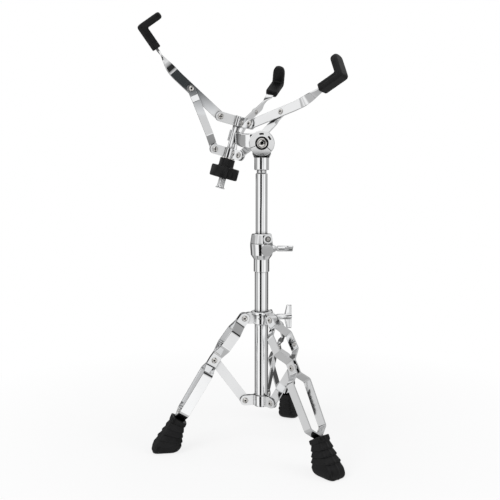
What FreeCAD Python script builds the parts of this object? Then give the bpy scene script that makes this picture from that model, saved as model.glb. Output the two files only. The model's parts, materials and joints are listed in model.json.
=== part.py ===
import FreeCAD, Part
import os
from math import asin, atan2, cos, hypot, pi, radians, sin, sqrt, tan

V = FreeCAD.Vector

# The stand rests on z = 0 and its tubes run up the z axis.
# Lengths are in millimetres, angles in degrees. Azimuths turn from +X towards +Y, seen from above.

# Clearances shared by every moving fit
overrun = 2.0
touch_tolerance = 0.01
running_gap = 0.3
pin_clearance = 0.05
slide_clearance = 0.1

# Lower and upper tube
lower_tube_radius = 12.7
lower_tube_wall = 1.2
lower_tube_bottom = 79.0
lower_tube_top = 366.0
upper_tube_radius = 11.1
upper_tube_wall = 1.4
upper_tube_bottom = 205.0
neck_radius = 9.0
neck_length = 5.0

# Tripod linkage
left_leg_azimuth = 189.0
leg_pitch = 120.0
collar_pivot_radius = 33.0
collar_pivot_height = 249.5
spider_pivot_radius = 31.5
spider_pivot_height = 91.0
knee_radius = 90.0
knee_height = 171.2
shin_lean = 31.0
shin_length = 152.0

# Leg strips, each leg is a pair that bows apart above and below the knee
strip_width = 19.0
strip_thickness = 2.5
strip_bend_radius = 6.0
thigh_flat = 14.0
thigh_crest = 22.0
thigh_crest_start = 32.0
thigh_crest_end = 65.0
knee_flat = 12.5
knee_gap = 1.25
shin_crest = 20.5
shin_crest_start = 27.0
shin_crest_low = 17.5
shin_crest_end = 113.0
boot_flat = 24.0

# Braces
brace_width = 17.5
brace_thickness = 3.0
brace_slot_length = 4.8
brace_slot_lean = 23.5
brace_slot_play = 1.3

# Rivets and pivot screws
rivet_radius = 3.0
rivet_head_radius = 5.2
rivet_head_height = 2.2
screw_radius = 2.5
screw_head_radius = 5.4
screw_head_height = 2.6
head_top_share = 0.62

# Formed straps of the spider
strap_thickness = 2.5
strap_bend_radius = 3.5
spider_strap_height = 19.0

# Sliding leg collar
collar_height = 24.0
collar_radius = 15.8
collar_rim_radius = 20.0
collar_rim_height = 4.5
collar_rim_edge = 1.2
lug_thickness = 10.0
lug_height = 21.0
lug_end_radius = 8.6
collar_boss_radius = 7.5
collar_boss_reach = 24.5
collar_dimple_radius = 1.8
collar_dimple_depth = 1.0
collar_dimple_azimuth = 255.0

# Rubber boots
cuff_start = 129.0
cuff_depth = 32.0
cuff_breadth = 31.0
cuff_height = 8.0
boot_waist_depth = 29.0
boot_waist_breadth = 28.0
sole_depth = 48.0
sole_breadth = 46.0
sole_radius = 183.0
sole_height = 13.0
sole_edge = 4.0
boot_corner_share = 0.36
boot_ridges = 4
boot_ridge_step = 3.6
boot_ridge_share = 0.24

# Height clamp and its bushing, set from the top of the lower tube
clamp_sleeve_radius = 14.6
clamp_overlap = 29.0
clamp_cone_overlap = 6.0
clamp_cone_rise = 8.0
clamp_body_radius = 20.0
clamp_belt_radius = 21.2
clamp_body_rise = 16.0
clamp_belt_depth = 6.0
clamp_lip = 0.8
bushing_thickness = 1.6
clamp_lug_x = 10.5
clamp_lug_radius = 11.0
clamp_lug_drop = 0.5
clamp_lug_front = 21.5
clamp_boss_radius = 6.5
clamp_boss_reach = 24.0
clamp_bolt_y = -13.5
clamp_bolt_drop = 9.0

# Memory lock above the clamp
lock_bottom_radius = 21.0
lock_top_radius = 18.6
lock_height = 17.2
lock_edge = 1.5
lock_boss_x = 11.5
lock_boss_radius = 8.4
lock_boss_front = 20.5
lock_screw_radius = 3.6
lock_ring_radius = 5.4
lock_ring_depth = 2.5
lock_split = 1.6
lock_key_width = 5.1

# Wing bolts
stud_radius = 3.5
barrel_radius = 5.2
barrel_length = 33.0
wing_span = 45.0
wing_root = 14.0
wing_tip = 10.0
wing_thickness = 4.6
wing_tip_radius = 2.5
stud_seat_gap = 0.4
leg_bolt_azimuth = 9.0
height_bolt_angle = 74.0

# Tilter at the top of the upper tube
hub_height = 573.4
socket_radius = 13.6
socket_drop = 25.9
socket_length = 22.5
socket_edge = 1.2
socket_seat_depth = 12.0
shoulder_radius = 17.2
shoulder_drop = 19.0
cheek_radius = 19.6
cheek_front = -4.0
cheek_back = 5.5
head_radius = 23.2
head_thickness = 10.4
head_edge = 1.0
friction_washer_thickness = 1.2
friction_washer_radius = 19.2
hub_recess_radius = 12.2
hub_recess_depth = 4.4
hub_washer_radius = 11.7
hub_washer_thickness = 1.6
tilter_bolt_radius = 4.0
bolt_head_radius = 9.2
bolt_head_proud = 1.4
bolt_socket_radius = 4.2
bolt_socket_depth = 3.0
nut_radius = 7.0
nut_thickness = 4.5
nut_sides = 6
head_slot_radius = 16.8
head_slot_width = 3.2
first_slot_angle = 34.0
second_slot_angle = 92.0
head_slot_sweep_angle = 26.0
left_seam_angle = 203.0
right_seam_angle = 321.0
head_seam_width = 0.9
head_seam_depth = 0.9
head_notch_radius = 5.0
head_notch_depth = 1.2

# Basket axis: where it stands from the hub, and its lean
basket_x = -53.0
basket_y = 65.6
basket_rise = 13.3
basket_tilt_angle = 15.4
left_arm_azimuth = 195.0

# Bracket arm that carries the basket post
bracket_root_inset = 2.0
bracket_root_rise = 4.0
bracket_turn_x = -45.0
bracket_turn_rise = 5.0
bracket_root_height = 29.0
bracket_root_depth = 9.0
bracket_end_height = 19.0
bracket_end_depth = 10.0
bracket_corner = 2.6
bracket_stations = 7
saddle_wall = 3.4
saddle_bottom = -8.0
saddle_top = 13.0
saddle_open = 1.5

# Basket post, straps and yoke, heights along the basket axis from the bracket level
post_radius = 7.0
post_top = 42.0
post_bottom = -100.5
post_bore_radius = 4.4
post_chamfer = 1.0
post_lip_radius = 9.0
post_lip_height = 2.0
arm_pivot_radius = 36.0
arm_pivot_height = 31.5
basket_strap_height = 18.5
yoke_pivot_radius = 30.0
yoke_pivot_height = -30.5
yoke_bushing_wall = 2.4
yoke_washer_radius = 12.5
yoke_washer_thickness = 1.8

# Tension knob
knob_hub_radius = 14.6
knob_hub_height = 16.0
knob_radius = 26.0
knob_height = 22.0
knob_edge = 1.6
knob_lobes = 3
knob_groove_radius = 9.0
knob_groove_depth = 4.5
knob_groove_angle = 60.0

# Basket arms with their quarter twist, where they also bend upwards
arm_width = 18.0
arm_thickness = 3.0
arm_rise_angle = 26.5
strut_pivot_reach = 75.5
twist_start = 104.0
twist_length = 36.0
twist_bend_angle = 12.7
twist_stations = 7
tongue_length = 66.0
arm_tongue_width = 15.0

# Rubber grips, measured along the tongue from the end of the twist
grip_inset = 30.0
grip_length = 52.0
grip_thickness = 15.0
grip_breadth = 24.0
hook_length = 48.5
hook_thickness = 13.0
grip_corner = 6.0
grip_inner_corner = 3.0
grip_tip_corner = 11.0

# Struts with their joggles
strut_width = 14.5
strut_thickness = 3.0
strut_bend_radius = 6.0
strut_foot = 10.0
strut_ramp = 30.0
strut_set = 6.2
strut_neck = 14.0
strut_step = 10.0
strut_slot_length = 1.5
strut_slot_play = 2.0

# Directions, and sizes that follow from the ones above
X, Y, Z = V(1, 0, 0), V(0, 1, 0), V(0, 0, 1)
sides = ("left", "right", "rear")
strap_sides = {"front": "left", "right": "right", "back": "rear"}
leg_azimuths = {side: left_leg_azimuth + leg_pitch * turn for turn, side in enumerate(sides)}
arm_azimuths = {side: left_arm_azimuth + leg_pitch * turn for turn, side in enumerate(sides)}
thigh_reach = hypot(knee_radius - collar_pivot_radius, collar_pivot_height - knee_height)
brace_reach = hypot(knee_radius - spider_pivot_radius, knee_height - spider_pivot_height)
knee_offset = brace_thickness / 2 + knee_gap + strip_thickness / 2
lug_offset = lug_thickness / 2 + running_gap + strip_thickness / 2
clasp_offset = arm_thickness / 2 + running_gap + strap_thickness / 2
collar_top = collar_pivot_height + collar_height / 2
collar_bolt_height = collar_pivot_height
clamp_sleeve_bottom = lower_tube_top - clamp_overlap
clamp_cone_bottom = lower_tube_top - clamp_cone_overlap
clamp_shoulder_height = clamp_cone_bottom + clamp_cone_rise
clamp_belt_height = clamp_shoulder_height + clamp_body_rise
clamp_top = clamp_belt_height + clamp_belt_depth
clamp_lug_height = clamp_top - clamp_lug_drop - clamp_lug_radius
clamp_bolt_height = clamp_top - clamp_bolt_drop
clamp_bushing_outer = upper_tube_radius + slide_clearance + bushing_thickness
clamp_stud_start = sqrt((clamp_bushing_outer + stud_seat_gap) ** 2 - (abs(clamp_bolt_y) - stud_radius) ** 2)
lock_bottom = clamp_top + running_gap
lock_top = lock_bottom + lock_height
lock_screw_height = lock_bottom + lock_height / 2
socket_top = hub_height - socket_drop
socket_bottom = socket_top - socket_length
head_back = cheek_front - friction_washer_thickness
head_front = head_back - head_thickness
recess_floor = head_front + hub_recess_depth
yoke_bushing_outer = post_radius + slide_clearance + yoke_bushing_wall
yoke_bottom = yoke_pivot_height - basket_strap_height / 2
knob_top = yoke_bottom - yoke_washer_thickness - running_gap
basket_origin = V(basket_x, basket_y, hub_height + basket_rise)
basket_place = FreeCAD.Placement(basket_origin, FreeCAD.Rotation(Y, basket_tilt_angle))


# Small building helpers

def box(x0, x1, y0, y1, z0, z1):
    return Part.makeBox(x1 - x0, y1 - y0, z1 - z0, V(x0, y0, z0))


def rod(radius, start, end):
    return Part.makeCylinder(radius, (end - start).Length, start, end - start)


def turned_piece(profile):
    """Revolve an outline of radius and height pairs about the z axis."""
    points = [V(r, 0, z) for r, z in profile]
    face = Part.Face(Part.makePolygon(points + points[:1]))
    return face.revolve(V(0, 0, 0), Z, 360)


def sleeve(inner, outer, low, high):
    """Plain round sleeve between two heights."""
    return turned_piece([(inner, low), (outer, low), (outer, high), (inner, high)])


def stations(count):
    """Evenly spaced shares from 0 to 1."""
    return [i / (count - 1) for i in range(count)]


def facing(origin, along, across):
    """Placement whose x axis runs along a piece and whose y axis runs across it."""
    along = V(along).normalize()
    across = V(across).normalize()
    up = along.cross(across)
    rows = [getattr(vector, axis) for axis in "xyz" for vector in (along, across, up, origin)]
    return FreeCAD.Placement(FreeCAD.Matrix(*rows, 0, 0, 0, 1))


def put(shape, placement):
    moved = shape.copy()
    moved.Placement = placement.multiply(moved.Placement)
    return moved


def spun(shape, azimuth):
    return put(shape, FreeCAD.Placement(V(0, 0, 0), FreeCAD.Rotation(Z, azimuth)))


def joined(shapes):
    return shapes[0].multiFuse(shapes[1:]).removeSplitter() if len(shapes) > 1 else shapes[0]


def prism(points, depth):
    """Extrude a closed outline of x and y pairs, centred on z."""
    corners = [V(x, y, -depth / 2) for x, y in points]
    return Part.Face(Part.makePolygon(corners + corners[:1])).extrude(V(0, 0, depth))


def rounded_rectangle(length, breadth, corner):
    half_x = length / 2 - corner
    half_y = breadth / 2 - corner
    arcs = []
    for turn, (sx, sy) in enumerate(((1, 1), (-1, 1), (-1, -1), (1, -1))):
        centre = V(sx * half_x, sy * half_y, 0)
        angles = [(turn + share) * pi / 2 for share in (0, 1 / 2, 1)]
        arcs.append(Part.Arc(*[centre + V(cos(a), sin(a), 0) * corner for a in angles]).toShape())
    lines = []
    for arc, following in zip(arcs, arcs[1:] + arcs[:1]):
        lines.append(Part.makeLine(arc.Vertexes[-1].Point, following.Vertexes[0].Point))
    return Part.Wire([edge for pair in zip(arcs, lines) for edge in pair])


def pivot_pin(shank, head_radius, head_height, grip):
    """Rivet or pivot screw along the y axis, with a low domed head at each end."""
    half = grip / 2
    rim = half + head_height / 2
    crown = half + head_height
    top = head_radius * head_top_share
    profile = [(0, -crown), (top, -crown), (head_radius, -rim), (head_radius, -half), (shank, -half)]
    profile += [(shank, half), (head_radius, half), (head_radius, rim), (top, crown), (0, crown)]
    return put(turned_piece(profile), FreeCAD.Placement(V(0, 0, 0), FreeCAD.Rotation(X, -90)))


# Formed straps: a strap wraps a round core and ends in an ear beside each of two neighbouring links

def mirrored_ear(point):
    """Point mirrored in the plane halfway between two neighbouring links."""
    pitch = radians(leg_pitch)
    x = point.x * cos(pitch) + point.y * sin(pitch)
    y = point.x * sin(pitch) - point.y * cos(pitch)
    return V(x, y, 0)


def strap_side(shift, core, offset, reach):
    """One face of a strap in plan, shifted outwards from its middle line."""
    bend_reach = sqrt((core + strap_bend_radius) ** 2 - (offset + strap_bend_radius) ** 2)
    bend_angle = asin((offset + strap_bend_radius) / (core + strap_bend_radius))
    centre = V(bend_reach, offset + strap_bend_radius, 0)
    turn = (3 * pi / 2 + pi + bend_angle) / 2
    start = V(reach, offset + shift, 0)
    bend_in = V(bend_reach, offset + shift, 0)
    bend_mid = centre + V(cos(turn), sin(turn), 0) * (strap_bend_radius - shift)
    bend_out = V(cos(bend_angle), sin(bend_angle), 0) * (core + shift)
    middle = V(cos(radians(leg_pitch) / 2), sin(radians(leg_pitch) / 2), 0) * (core + shift)
    edges = [Part.makeLine(start, bend_in), Part.Arc(bend_in, bend_mid, bend_out).toShape()]
    edges.append(Part.Arc(bend_out, middle, mirrored_ear(bend_out)).toShape())
    edges.append(Part.Arc(mirrored_ear(bend_out), mirrored_ear(bend_mid), mirrored_ear(bend_in)).toShape())
    edges.append(Part.makeLine(mirrored_ear(bend_in), mirrored_ear(start)))
    return edges


def formed_strap(core_radius, offset, pivot, height, pin_radius):
    """Strap whose ears lie beside the links at azimuth zero and one leg pitch further round."""
    half = strap_thickness / 2
    core = core_radius + half
    reach = pivot.x
    near = strap_side(-half, core, offset, reach)
    far = strap_side(half, core, offset, reach)
    near_start, near_end = near[0].Vertexes[0].Point, near[-1].Vertexes[-1].Point
    far_start, far_end = far[0].Vertexes[0].Point, far[-1].Vertexes[-1].Point
    ends = [Part.makeLine(near_start, far_start), Part.makeLine(near_end, far_end)]
    outline = Part.Wire(Part.__sortEdges__(near + far + ends))
    band = Part.Face(outline).extrude(V(0, 0, height))
    band.translate(V(0, 0, -height / 2))
    first_ear = rod(height / 2, V(reach, offset - half, 0), V(reach, offset + half, 0))
    second_ear = rod(height / 2, V(reach, -offset - half, 0), V(reach, half - offset, 0))
    pin_reach = offset + half + overrun
    first_hole = rod(pin_radius, V(reach, 0, 0), V(reach, pin_reach, 0))
    second_hole = rod(pin_radius, V(reach, -pin_reach, 0), V(reach, 0, 0))
    strap = joined([band, first_ear, spun(second_ear, leg_pitch)])
    strap = strap.cut(first_hole).cut(spun(second_hole, leg_pitch))
    return strap.translated(V(0, 0, pivot.z))


# Bowed leg strips

def bent_face(line, shift, radius):
    """One face of a bar bent along a middle line: straight runs joined by bends, shifted sideways."""
    edges = []
    last = None
    for i, point in enumerate(line):
        arriving = (point - line[max(i - 1, 0)]) if i else (line[1] - point)
        leaving = (line[i + 1] - point) if i + 1 < len(line) else arriving
        arriving, leaving = V(arriving).normalize(), V(leaving).normalize()
        turn = atan2(arriving.cross(leaving).z, arriving.dot(leaving))
        tangent = radius * tan(abs(turn) / 2)
        start = point - arriving * tangent + Z.cross(arriving) * shift
        end = point + leaving * tangent + Z.cross(leaving) * shift
        if last:
            edges.append(Part.makeLine(last, start))
        if turn:
            inward = (leaving - arriving).normalize()
            centre = point + inward * (radius / cos(turn / 2))
            middle = centre - inward * (radius - shift * (1 if turn > 0 else -1))
            edges.append(Part.Arc(start, middle, end).toShape())
        last = end
    return edges


def bent_bar(outline, thickness, width, radius):
    """Flat bar bent along an outline of x and y pairs, its width along z."""
    line = [V(x, y, 0) for x, y in outline]
    half = thickness / 2
    sides = [bent_face(line, shift, radius) for shift in (-half, half)]
    ends = [(side[0].Vertexes[0].Point, side[-1].Vertexes[-1].Point) for side in sides]
    caps = [Part.makeLine(low, high) for low, high in zip(*ends)]
    bar = Part.Face(Part.Wire(Part.__sortEdges__(sides[0] + sides[1] + caps))).extrude(V(0, 0, width))
    bar.translate(V(0, 0, -width / 2))
    return bar


def thigh_strip():
    """Strip from the collar lug to the knee, spread out to its crest in between."""
    outline = [(0, lug_offset), (thigh_flat, lug_offset), (thigh_crest_start, thigh_crest)]
    knee_start = thigh_reach - knee_flat
    outline += [(thigh_crest_end, thigh_crest), (knee_start, knee_offset), (thigh_reach, knee_offset)]
    return bent_bar(outline, strip_thickness, strip_width, strip_bend_radius)


def shin_strip():
    """Strip from the knee into the boot, spread wide below the knee and narrowing a little downwards."""
    inner = strip_thickness / 2
    outline = [(0, knee_offset), (knee_flat, knee_offset), (shin_crest_start, shin_crest)]
    outline += [(shin_crest_end, shin_crest_low), (shin_length - boot_flat, inner), (shin_length, inner)]
    return bent_bar(outline, strip_thickness, strip_width, strip_bend_radius)


def strip_eye(offset):
    half = strip_thickness / 2
    return rod(strip_width / 2, V(0, offset - half, 0), V(0, offset + half, 0))


def leg_points():
    collar_pivot = V(collar_pivot_radius, 0, collar_pivot_height)
    knee = V(knee_radius, 0, knee_height)
    shin = V(sin(radians(shin_lean)), 0, -cos(radians(shin_lean)))
    return collar_pivot, knee, shin


def leg_strip(hand):
    """One strip of a leg that stands at azimuth zero; hand is 1 or -1 for the two sides of the leg."""
    collar_pivot, knee, shin = leg_points()
    side = Y * hand
    thigh_place = facing(collar_pivot, knee - collar_pivot, side)
    shin_place = facing(knee, shin, side)
    pieces = [put(thigh_strip(), thigh_place), put(shin_strip(), shin_place)]
    pieces += [put(strip_eye(lug_offset), thigh_place), put(strip_eye(knee_offset), shin_place)]
    reach = side * (thigh_crest + strip_thickness)
    hole = rod(rivet_radius + pin_clearance, collar_pivot, collar_pivot + reach)
    return joined(pieces).cut(hole).cut(rod(rivet_radius, knee, knee + reach))


def knee_rivet():
    _, knee, _ = leg_points()
    rivet = pivot_pin(rivet_radius, rivet_head_radius, rivet_head_height, 2 * knee_offset + strip_thickness)
    rivet.translate(knee)
    return rivet


def boot_section(share, depth, breadth):
    """Rounded outline of the boot at a share of the way from its cuff to the sole."""
    _, knee, shin = leg_points()
    cuff = knee + shin * cuff_start
    centre = cuff + (V(sole_radius, 0, 0) - cuff) * share
    lean = radians(shin_lean * (1 - share))
    across = V(-cos(lean), 0, -sin(lean))
    return put(rounded_rectangle(depth, breadth, boot_corner_share * breadth), facing(centre, across, Y))


def waist_size(share):
    """Depth and breadth of the boot between its ridges, widening towards the sole."""
    depth = boot_waist_depth + (sole_depth - boot_waist_depth) * share
    breadth = boot_waist_breadth + (sole_breadth - boot_waist_breadth) * share
    return depth, breadth


def boot():
    """Ribbed rubber boot with a cuff, stepped ridges and a rounded sole."""
    _, knee, shin = leg_points()
    cuff = knee + shin * cuff_start
    cuff_share = cuff_height / cuff.z
    ribbed_share = 1 - sole_height / cuff.z - cuff_share
    sections = [(0, cuff_depth, cuff_breadth), (cuff_share, cuff_depth, cuff_breadth)]
    for ridge in range(boot_ridges):
        start = ridge / boot_ridges
        end = (ridge + 1) / boot_ridges
        groove = start + boot_ridge_share / 2 / boot_ridges
        sections.append((cuff_share + ribbed_share * groove, *waist_size(start)))
        depth, breadth = [size + boot_ridge_step for size in waist_size(end)]
        sections.append((cuff_share + ribbed_share * end, min(depth, sole_depth), min(breadth, sole_breadth)))
    sections.append((1 - sole_edge / cuff.z, sole_depth, sole_breadth))
    sections.append((1, sole_depth - 2 * sole_edge, sole_breadth - 2 * sole_edge))
    body = Part.makeLoft([boot_section(*section) for section in sections], True, True)
    half = strip_width / 2
    pocket = box(-overrun, shin_length - cuff_start, -strip_thickness, strip_thickness, -half, half)
    return body.cut(put(pocket, facing(cuff, shin, Y)))


def brace():
    """Flat brace from the spider to the knee, with a lost-motion slot at the knee."""
    spider_pivot = V(spider_pivot_radius, 0, spider_pivot_height)
    _, knee, _ = leg_points()
    half = brace_thickness / 2
    across = Y * brace_width
    top = V(brace_reach, 0, 0)
    bar = box(0, brace_reach, -half, half, -brace_width / 2, brace_width / 2)
    foot = rod(brace_width / 2, V(0, -half, 0), V(0, half, 0))
    eye = rod(brace_width / 2, V(brace_reach, -half, 0), V(brace_reach, half, 0))
    lean = radians(brace_slot_lean)
    stray = V(-cos(lean), 0, -sin(lean)) * brace_slot_length
    slot_radius = rivet_radius + brace_slot_play / 2
    slot = box(0, brace_slot_length, -brace_width, brace_width, -slot_radius, slot_radius)
    slot_ends = [rod(slot_radius, point - across, point + across) for point in (top, top + stray)]
    bar = joined([bar, foot, eye]).cut(rod(rivet_radius + pin_clearance, -across, across))
    bar = bar.cut(put(slot, facing(top, stray, Y)).multiFuse(slot_ends))
    return put(bar, facing(spider_pivot, knee - spider_pivot, Y))


# Sliding leg collar

def collar_lug():
    """Lug that carries one leg, tapered towards its round nose."""
    pivot = V(collar_pivot_radius, 0, 0)
    outline = [(lower_tube_radius + collar_rim_edge, lug_height / 2)]
    outline += [(collar_pivot_radius - lug_end_radius, lug_height / 2), (collar_pivot_radius, lug_end_radius)]
    outline += [(x, -z) for x, z in reversed(outline)]
    plate = put(prism(outline, lug_thickness), FreeCAD.Placement(V(0, 0, 0), FreeCAD.Rotation(X, 90)))
    nose = rod(lug_end_radius, pivot - Y * (lug_thickness / 2), pivot + Y * (lug_thickness / 2))
    hole = rod(rivet_radius, pivot - Y * lug_thickness, pivot + Y * lug_thickness)
    return joined([plate, nose]).cut(hole).translated(V(0, 0, collar_pivot_height))


def leg_collar():
    """Collar that slides on the lower tube, with a rim, three lugs and the boss of its wing bolt."""
    bottom = collar_top - collar_height
    rim_low = collar_top - collar_rim_height
    bore = lower_tube_radius + slide_clearance
    edge = collar_rim_edge
    profile = [(bore, bottom), (collar_radius - edge, bottom), (collar_radius, bottom + edge)]
    profile += [(collar_radius, rim_low - edge), (collar_rim_radius, rim_low)]
    profile += [(collar_rim_radius, collar_top - edge), (collar_rim_radius - edge, collar_top)]
    profile += [(bore + edge, collar_top), (bore, collar_top - edge)]
    level = V(0, 0, collar_bolt_height)
    dimple_floor = collar_radius - collar_dimple_depth
    boss = rod(collar_boss_radius, level + X * (lower_tube_radius + edge), level + X * collar_boss_reach)
    stud_hole = rod(stud_radius + pin_clearance, level, level + X * (collar_boss_reach + overrun))
    dimple = rod(collar_dimple_radius, level + X * dimple_floor, level + X * collar_rim_radius)
    pieces = [turned_piece(profile), spun(boss, leg_bolt_azimuth)]
    pieces += [spun(collar_lug(), azimuth) for azimuth in leg_azimuths.values()]
    return joined(pieces).cut(spun(stud_hole, leg_bolt_azimuth)).cut(spun(dimple, collar_dimple_azimuth))


def wing_bolt(stud_start, seat):
    """Wing bolt along +x: a stud, a barrel from the seat outwards and two tapered wings."""
    end = seat + barrel_length
    stud = rod(stud_radius, V(stud_start, 0, 0), V(seat + barrel_length / 2, 0, 0))
    barrel = rod(barrel_radius, V(seat, 0, 0), V(end, 0, 0))
    half_span = wing_span / 2
    inset = wing_tip_radius
    wing = [(end - wing_root, 0), (end - wing_tip, half_span - inset), (end - wing_tip + inset, half_span)]
    wing += [(end - inset, half_span), (end, half_span - inset), (end, 0)]
    wings = prism(wing + [(x, -z) for x, z in reversed(wing[1:-1])], wing_thickness)
    wings = put(wings, FreeCAD.Placement(V(0, 0, 0), FreeCAD.Rotation(X, 90)))
    return joined([stud, barrel, wings])


def leg_wing_bolt():
    bolt = wing_bolt(lower_tube_radius + stud_seat_gap, collar_boss_reach + running_gap)
    bolt.translate(V(0, 0, collar_bolt_height))
    return spun(bolt, leg_bolt_azimuth)


# Height clamp at the top of the lower tube

def height_clamp():
    """Sleeve over the lower tube, a cone and a belted body, with the lug and boss of its wing bolt."""
    bore = clamp_bushing_outer
    profile = [(lower_tube_radius, clamp_sleeve_bottom), (clamp_sleeve_radius, clamp_sleeve_bottom)]
    profile += [(clamp_sleeve_radius, clamp_cone_bottom), (clamp_body_radius, clamp_shoulder_height)]
    profile += [(clamp_belt_radius, clamp_belt_height)]
    profile += [(clamp_belt_radius, clamp_top - clamp_lip), (clamp_belt_radius - clamp_lip, clamp_top)]
    profile += [(bore, clamp_top), (bore, lower_tube_top), (lower_tube_radius, lower_tube_top)]
    lug_end = V(clamp_lug_x, 0, clamp_lug_height)
    lug = rod(clamp_lug_radius, lug_end - Y * clamp_lug_front, lug_end)
    bolt_axis = V(0, clamp_bolt_y, clamp_bolt_height)
    boss = rod(clamp_boss_radius, bolt_axis, bolt_axis + X * clamp_boss_reach)
    core = Part.makeCylinder(bore, clamp_top - clamp_sleeve_bottom, V(0, 0, clamp_sleeve_bottom))
    hole_end = bolt_axis + X * (clamp_boss_reach + overrun)
    stud_hole = rod(stud_radius + pin_clearance, bolt_axis + X * clamp_stud_start, hole_end)
    return joined([turned_piece(profile), lug.fuse(boss).cut(core)]).cut(stud_hole)


def clamp_bushing():
    return sleeve(upper_tube_radius + slide_clearance, clamp_bushing_outer, lower_tube_top, clamp_top)


def height_wing_bolt():
    bolt = wing_bolt(clamp_stud_start, clamp_boss_reach + running_gap)
    bolt = put(bolt, FreeCAD.Placement(V(0, 0, 0), FreeCAD.Rotation(X, height_bolt_angle)))
    bolt.translate(V(0, clamp_bolt_y, clamp_bolt_height))
    return bolt


# Memory lock that keeps the set height

def memory_lock():
    """Tapered ring with a split at its side and a boss for the screw that closes it."""
    bore = upper_tube_radius + slide_clearance
    rim = lock_top - lock_edge
    profile = [(bore, lock_bottom), (lock_bottom_radius, lock_bottom), (lock_top_radius, rim)]
    profile += [(lock_top_radius - lock_edge, lock_top), (bore + lock_edge, lock_top), (bore, rim)]
    screw_end = V(lock_boss_x, 0, lock_screw_height)
    front = screw_end - Y * lock_boss_front
    boss = rod(lock_boss_radius, front, screw_end)
    core = Part.makeCylinder(bore, lock_height, V(0, 0, lock_bottom))
    recess = rod(lock_ring_radius, front - Y * overrun, front + Y * lock_ring_depth)
    shank = rod(lock_screw_radius, front, screw_end)
    half = lock_split / 2
    split_end = lock_boss_x + lock_bottom_radius
    split = box(upper_tube_radius, split_end, -half, half, lock_bottom - overrun, lock_top + overrun)
    return joined([turned_piece(profile), boss.cut(core)]).cut(recess).cut(shank).cut(split)


def memory_lock_screw():
    """Drum-key screw: a round shank with a square drive head in the recess."""
    front = V(lock_boss_x, -lock_boss_front, lock_screw_height)
    seat = front + Y * lock_ring_depth
    half = lock_key_width / 2
    shank = rod(lock_screw_radius, seat, seat + Y * lock_boss_radius)
    head = box(-half, half, 0, lock_ring_depth, -half, half).translated(front)
    core = Part.makeCylinder(upper_tube_radius + slide_clearance, lock_height, V(0, 0, lock_bottom))
    return joined([shank, head]).cut(core)


# Tubes

def lower_tube():
    return sleeve(lower_tube_radius - lower_tube_wall, lower_tube_radius, lower_tube_bottom, lower_tube_top)


def upper_tube():
    """Upper tube with a rolled neck just below the tilter socket."""
    outer = upper_tube_radius
    inner = upper_tube_radius - upper_tube_wall
    neck_inner = neck_radius - upper_tube_wall
    neck_bottom = socket_bottom - neck_length
    shoulder = neck_bottom - (upper_tube_radius - neck_radius)
    top = socket_bottom + socket_seat_depth
    profile = [(inner, upper_tube_bottom), (outer, upper_tube_bottom), (outer, shoulder)]
    profile += [(neck_radius, neck_bottom), (neck_radius, top)]
    profile += [(neck_inner, top), (neck_inner, neck_bottom), (inner, shoulder)]
    return turned_piece(profile)


# Tilter

def tilter_socket():
    """Casting that caps the upper tube and carries the rear cheek of the tilter."""
    hub = V(0, 0, hub_height)
    seat = socket_bottom + socket_seat_depth
    profile = [(neck_radius, socket_bottom), (socket_radius - socket_edge, socket_bottom)]
    profile += [(socket_radius, socket_bottom + socket_edge), (socket_radius, socket_top), (0, socket_top)]
    cup = turned_piece(profile + [(0, seat), (neck_radius, seat)])
    cheek = rod(cheek_radius, hub + Y * cheek_front, hub + Y * cheek_back)
    low = socket_top - socket_edge
    shoulder = hub_height - shoulder_drop
    flare = [(0, low), (socket_radius, low), (shoulder_radius, shoulder)]
    flare += [(shoulder_radius, hub_height), (0, hub_height)]
    slab = box(-cheek_radius, cheek_radius, cheek_front, cheek_back, low, hub_height)
    web = turned_piece(flare).common(slab)
    hole = rod(tilter_bolt_radius, hub + Y * (cheek_front - overrun), hub + Y * (cheek_back + overrun))
    nut_seat = nut_prism(nut_radius).translated(V(0, cheek_back - nut_thickness, hub_height))
    return joined([cup, cheek, web]).cut(hole).cut(nut_seat)


def nut_prism(radius):
    angles = [2 * pi * i / nut_sides for i in range(nut_sides)]
    nut = prism([(radius * cos(a), radius * sin(a)) for a in angles], nut_thickness)
    return put(nut, FreeCAD.Placement(V(0, nut_thickness / 2, 0), FreeCAD.Rotation(X, -90)))


def tilter_bolt():
    """Socket-head bolt through the head and the cheek."""
    hub = V(0, 0, hub_height)
    front = head_front - bolt_head_proud
    under_head = recess_floor - running_gap - hub_washer_thickness
    head = rod(bolt_head_radius, hub + Y * front, hub + Y * under_head)
    shank = rod(tilter_bolt_radius, hub + Y * under_head, hub + Y * cheek_back)
    socket = rod(bolt_socket_radius, hub + Y * (front - overrun), hub + Y * (front + bolt_socket_depth))
    return joined([head, shank]).cut(socket)


def tilter_nut():
    nut = nut_prism(nut_radius).translated(V(0, cheek_back - nut_thickness, hub_height))
    return nut.cut(rod(tilter_bolt_radius, V(0, 0, hub_height), V(0, cheek_back + overrun, hub_height)))


def hub_washer():
    hub = V(0, 0, hub_height)
    back = recess_floor - running_gap
    front = back - hub_washer_thickness
    disc = rod(hub_washer_radius, hub + Y * front, hub + Y * back)
    return disc.cut(rod(tilter_bolt_radius, hub + Y * (front - overrun), hub + Y * (back + overrun)))


def friction_washer():
    hub = V(0, 0, hub_height)
    disc = rod(friction_washer_radius, hub + Y * (head_back + running_gap), hub + Y * cheek_front)
    hole = rod(tilter_bolt_radius, hub + Y * (head_back - overrun), hub + Y * (cheek_front + overrun))
    return disc.cut(hole)


def arc_slot(middle):
    """Curved slot through the tilter head, drawn in the plane of the head."""
    low = V(0, 0, -overrun)
    height = head_thickness + 2 * overrun
    outer = head_slot_radius + head_slot_width / 2
    inner = head_slot_radius - head_slot_width / 2
    sector = Part.makeCylinder(outer, height, low, Z, head_slot_sweep_angle)
    return spun(sector.cut(Part.makeCylinder(inner, height, low)), middle - head_slot_sweep_angle / 2)


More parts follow.
